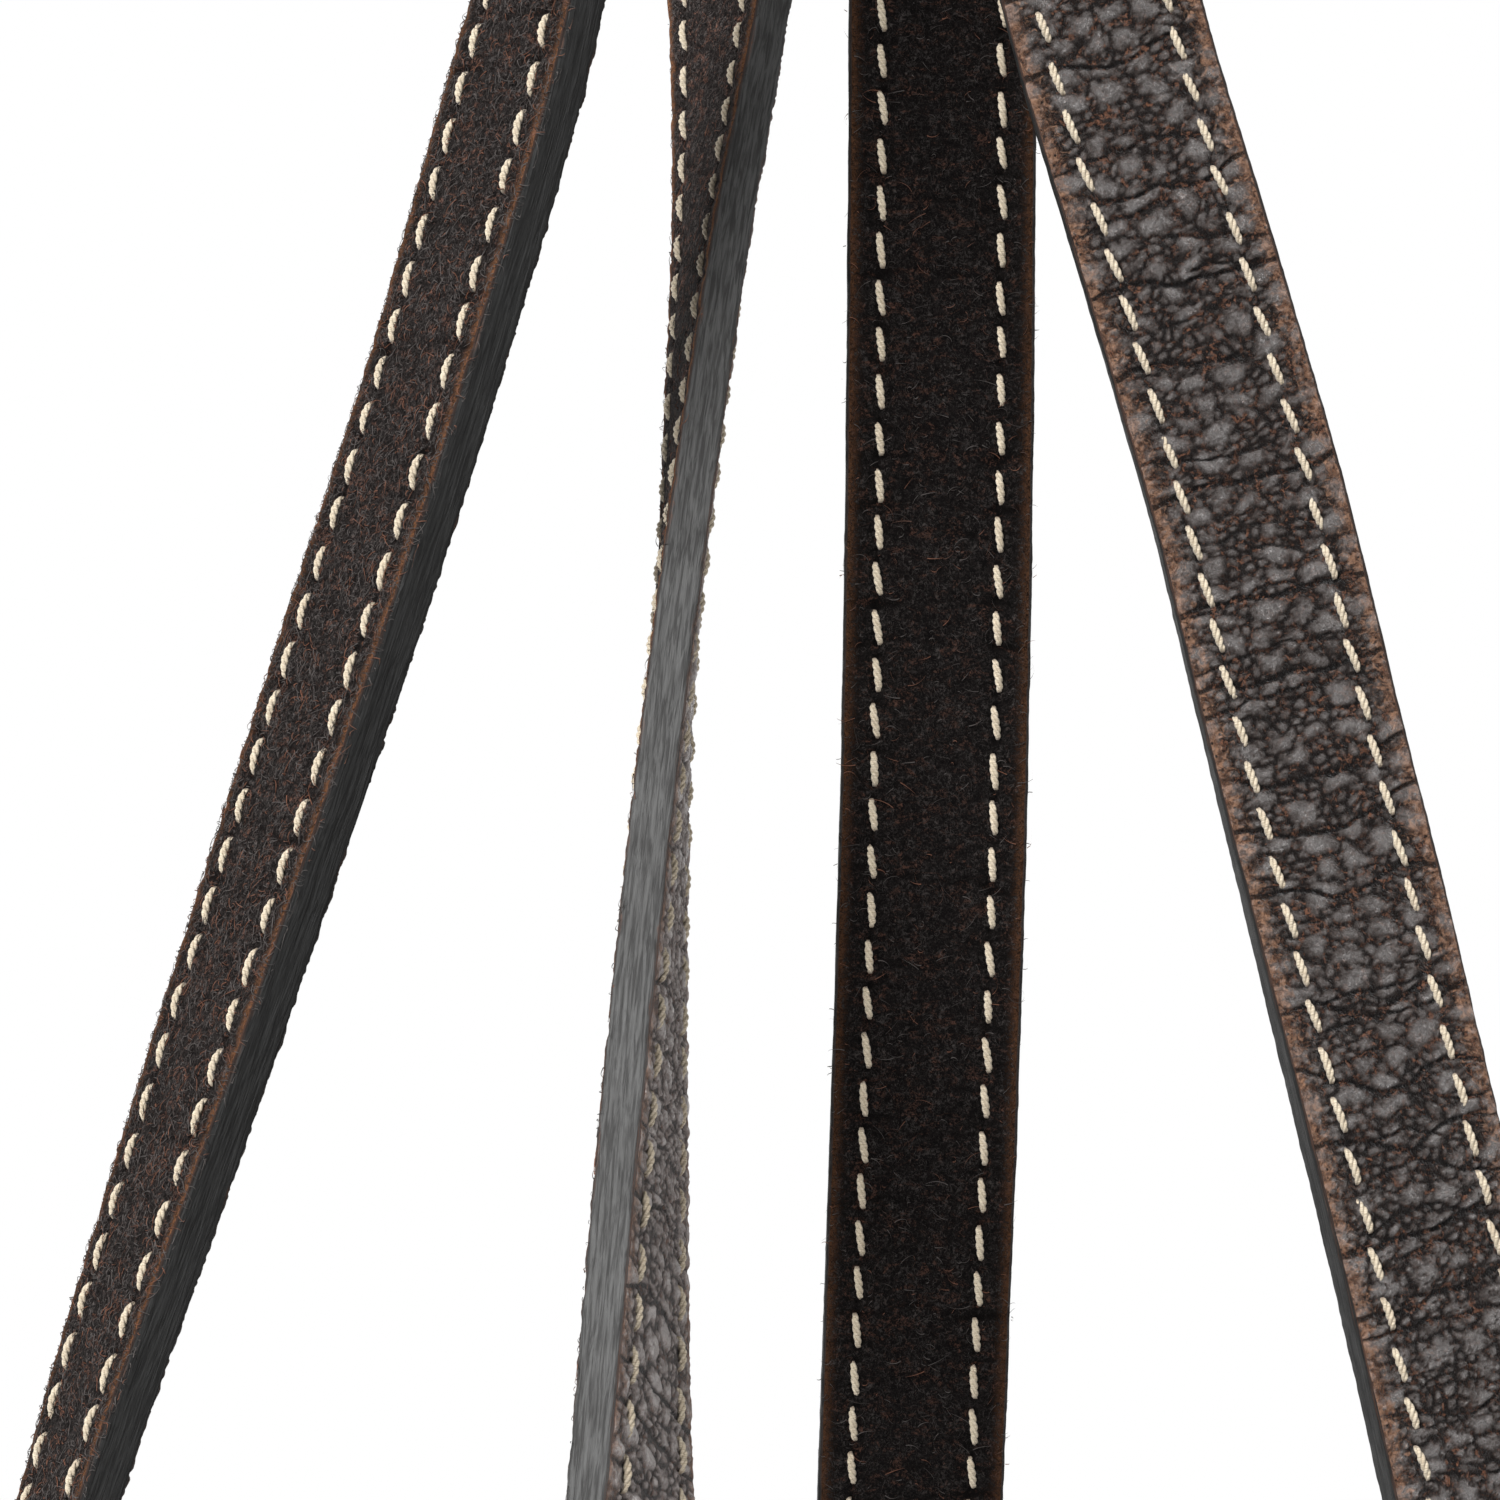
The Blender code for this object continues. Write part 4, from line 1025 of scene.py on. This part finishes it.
def build_point(base):
    """The left rein's end: it lies over the buckle, on the tongue's used hole."""
    line = [(POINT_FROM, -POINT_MID), (20.0, -POINT_MID), (-20.0, -POINT_MID), (POINT_TO, -POINT_MID)]
    path = flat_path(base, line, -base.across)
    point = fitting("left_rein_point", path, HALF, POINT_PLY / 2, "centre_loop", 67, 7.0)
    through = (-(POINT_MID + POINT_PLY), -(POINT_MID - POINT_PLY))
    cut_hole(point, base, HEEL_DROP + 7.9, through, USED_HOLE)
    for run in (-2.0, -22.0, 40.0):
        cut_hole(point, base, run, through, SPARE_HOLE)


def build_buckle(base):
    build_chape(base)
    build_frame(base)
    build_tongue(base)
    build_point(base)
    reach = POINT_MID + POINT_PLY / 2 + GLUE_GAP
    back = CHAPE_BACK + CHAPE_PLY / 2 + GLUE_GAP
    keeper(base, -10.0, -reach, back, "centre_loop", 71, "buckle_fixed_keeper")
    keeper(base, -44.0, -reach, THICK + KEEPER_SLACK, "buckle_keeper", 73, "buckle_running_keeper")


# ---- bit ends ----
BILLET_TAIL = THICK + BILLET_GAP + BILLET_PLY / 2  # flesh position of the billet's tail


def build_billet(side, base, seed):
    """Strip that runs down, round through the bit ring and back up onto the stud."""
    middle, flat = BILLET_TAIL / 2, BIT_LOOP_RADIUS + BILLET_PLY / 2 - 0.6
    centre, turn = (BIT_LOOP_DROP, middle), BIT_LOOP_RADIUS + BILLET_PLY / 2
    line = [(GLUE_GAP, 0.0), (12.0, 0.0), (20.0, -0.7), (27.0, -3.4)]
    line += arc(centre, turn, (-112, -88, -62, -38))
    line += [(BIT_LOOP_DROP + flat, middle - 3.0), (BIT_LOOP_DROP + flat, middle + 3.0)]
    line += arc(centre, turn, (38, 62, 88, 112))
    line += [(27.0, 2 * middle + 3.4), (20.0, BILLET_TAIL + 0.7)]
    line += [(run, BILLET_TAIL) for run in (12.0, -4.0, -36.0)]
    billet = fitting(side + "_billet", flat_path(base, line), BILLET_WIDTH / 2, BILLET_PLY / 2,
                     side + "_bit_end", seed, 4.0)
    cut_hole(billet, base, STUD_DROP, (BILLET_TAIL - 3.0, BILLET_TAIL + 3.0), BILLET_SLIT)


def build_stud(side, base):
    """Round-headed pin through the plies whose other end bends over into a hook."""
    head, over = -THICK - GLUE_GAP, BILLET_TAIL + BILLET_PLY / 2
    disc = [(head - 1.07, 0.05), (head - 1.05, 0.6), (head - 1.0, 2.2), (head - 0.8, 3.0),
            (head - 0.45, 3.4), (head - 0.15, 3.3), (head, 2.9), (head, 1.5),
            (head + 0.3, STUD_RADIUS), (head + 2.0, STUD_RADIUS)]
    pin = smooth_line([(0.0, over + 0.6), (-0.8, over + 2.2), (-2.6, over + 3.0), (-4.6, over + 2.6),
                       (-5.8, over + 2.2)], 8)
    shaft = base.line([(0.0, f) for f, _ in disc], STUD_DROP)
    hook = np.array(base.line(pin, STUD_DROP))
    radii = np.concatenate([[r for _, r in disc], round_end(hook, STUD_RADIUS)])
    stud = rod(side + "_hook_stud", "_pin", np.vstack([shaft, hook]), radii, base.across,
               side + "_bit_end")
    stud.data.shade_smooth()


def build_bit_end(side, base, seed):
    build_billet(side, base, seed)
    build_stud(side, base)
    low, reach = -THICK - KEEPER_SLACK, BILLET_TAIL + BILLET_PLY / 2 + GLUE_GAP
    keeper(base, -9.0, low, reach, side + "_bit_end", seed + 2, side + "_billet_fixed_keeper")
    keeper(base, -32.0, low, reach, side + "_billet_keeper", seed + 3, side + "_billet_running_keeper")


build_buckle(Base(right_hand))
build_bit_end("left", Base(left_bit), 81)
build_bit_end("right", Base(right_bit), 91)


# ---- camera, light and floor (m) ----
CAMERA_PLACE = (-0.0068, -0.338, -0.1638)
LENS, SENSOR = 98.7, 36.0
AIM = (0, 0, -0.17)
FLOOR_RADIUS, FLOOR_Z, FLOOR_SIDES = 2.2, -0.90, 96


def add_camera():
    data = bpy.data.cameras.new("camera")
    data.lens, data.sensor_width = LENS, SENSOR
    data.clip_start, data.clip_end = 0.01, 50.0
    cam = add_object("camera", data)
    cam.location = CAMERA_PLACE
    cam.rotation_euler = (pi / 2, 0, 0)
    bpy.context.scene.camera = cam


def add_area(name, place, target, size, power):
    """A soft rectangular light turned towards a target."""
    data = bpy.data.lights.new(name, "AREA")
    data.shape, data.size, data.size_y = "RECTANGLE", size[0], size[1]
    data.energy = power
    light = add_object(name, data)
    light.location = place
    light.rotation_euler = (Vector(target) - Vector(place)).to_track_quat("-Z", "Y").to_euler()


def add_world():
    """White studio: bright behind the object, dimmer on the camera's side."""
    g = Graph("studio", "worlds", "Background")
    where = g.node("ShaderNodeTexCoord").outputs["Generated"]
    behind = g.node("ShaderNodeSeparateXYZ", {0: where}).outputs["Y"]
    seen = g.node("ShaderNodeLightPath").outputs["Is Camera Ray"]
    strength = g.math("MAXIMUM", g.ramp(behind, -0.2, 0.5, 0.16, 1.0, "LINEAR"), seen)
    g.set(Color=(1, 1, 1), Strength=strength)
    bpy.context.scene.world = g.owner


def add_floor():
    """A pale floor under the reins that fades into the backdrop."""
    mesh = bpy.data.meshes.new("floor")
    turns = [2 * pi * k / FLOOR_SIDES for k in range(FLOOR_SIDES)]
    rim = [(FLOOR_RADIUS * cos(a), FLOOR_RADIUS * sin(a), FLOOR_Z) for a in turns]
    mesh.from_pydata(rim, [], [tuple(range(FLOOR_SIDES))])
    floor = add_object("floor", mesh)
    g = Graph("pale_floor")
    level = g.stretch(g.node("ShaderNodeTexCoord").outputs["Object"], (1.0, 1.0, 0.0))
    radius = g.node("ShaderNodeVectorMath", {0: level}, operation="LENGTH").outputs["Value"]
    g.set(Base_Color=FLOOR_GREY, Roughness=0.9, Alpha=g.ramp(radius, 0.35, 2.0, 1.0, 0.0))
    mesh.materials.append(g.owner)


add_camera()
add_area("key", (-0.62, -0.95, 0.62), AIM, (0.7, 0.7), 36)
add_area("fill", (0.9, -1.0, 0.1), (0.03, 0, -0.17), (0.8, 1.0), 6)
add_world()
add_floor()
bpy.context.scene.view_settings.view_transform = "Standard"
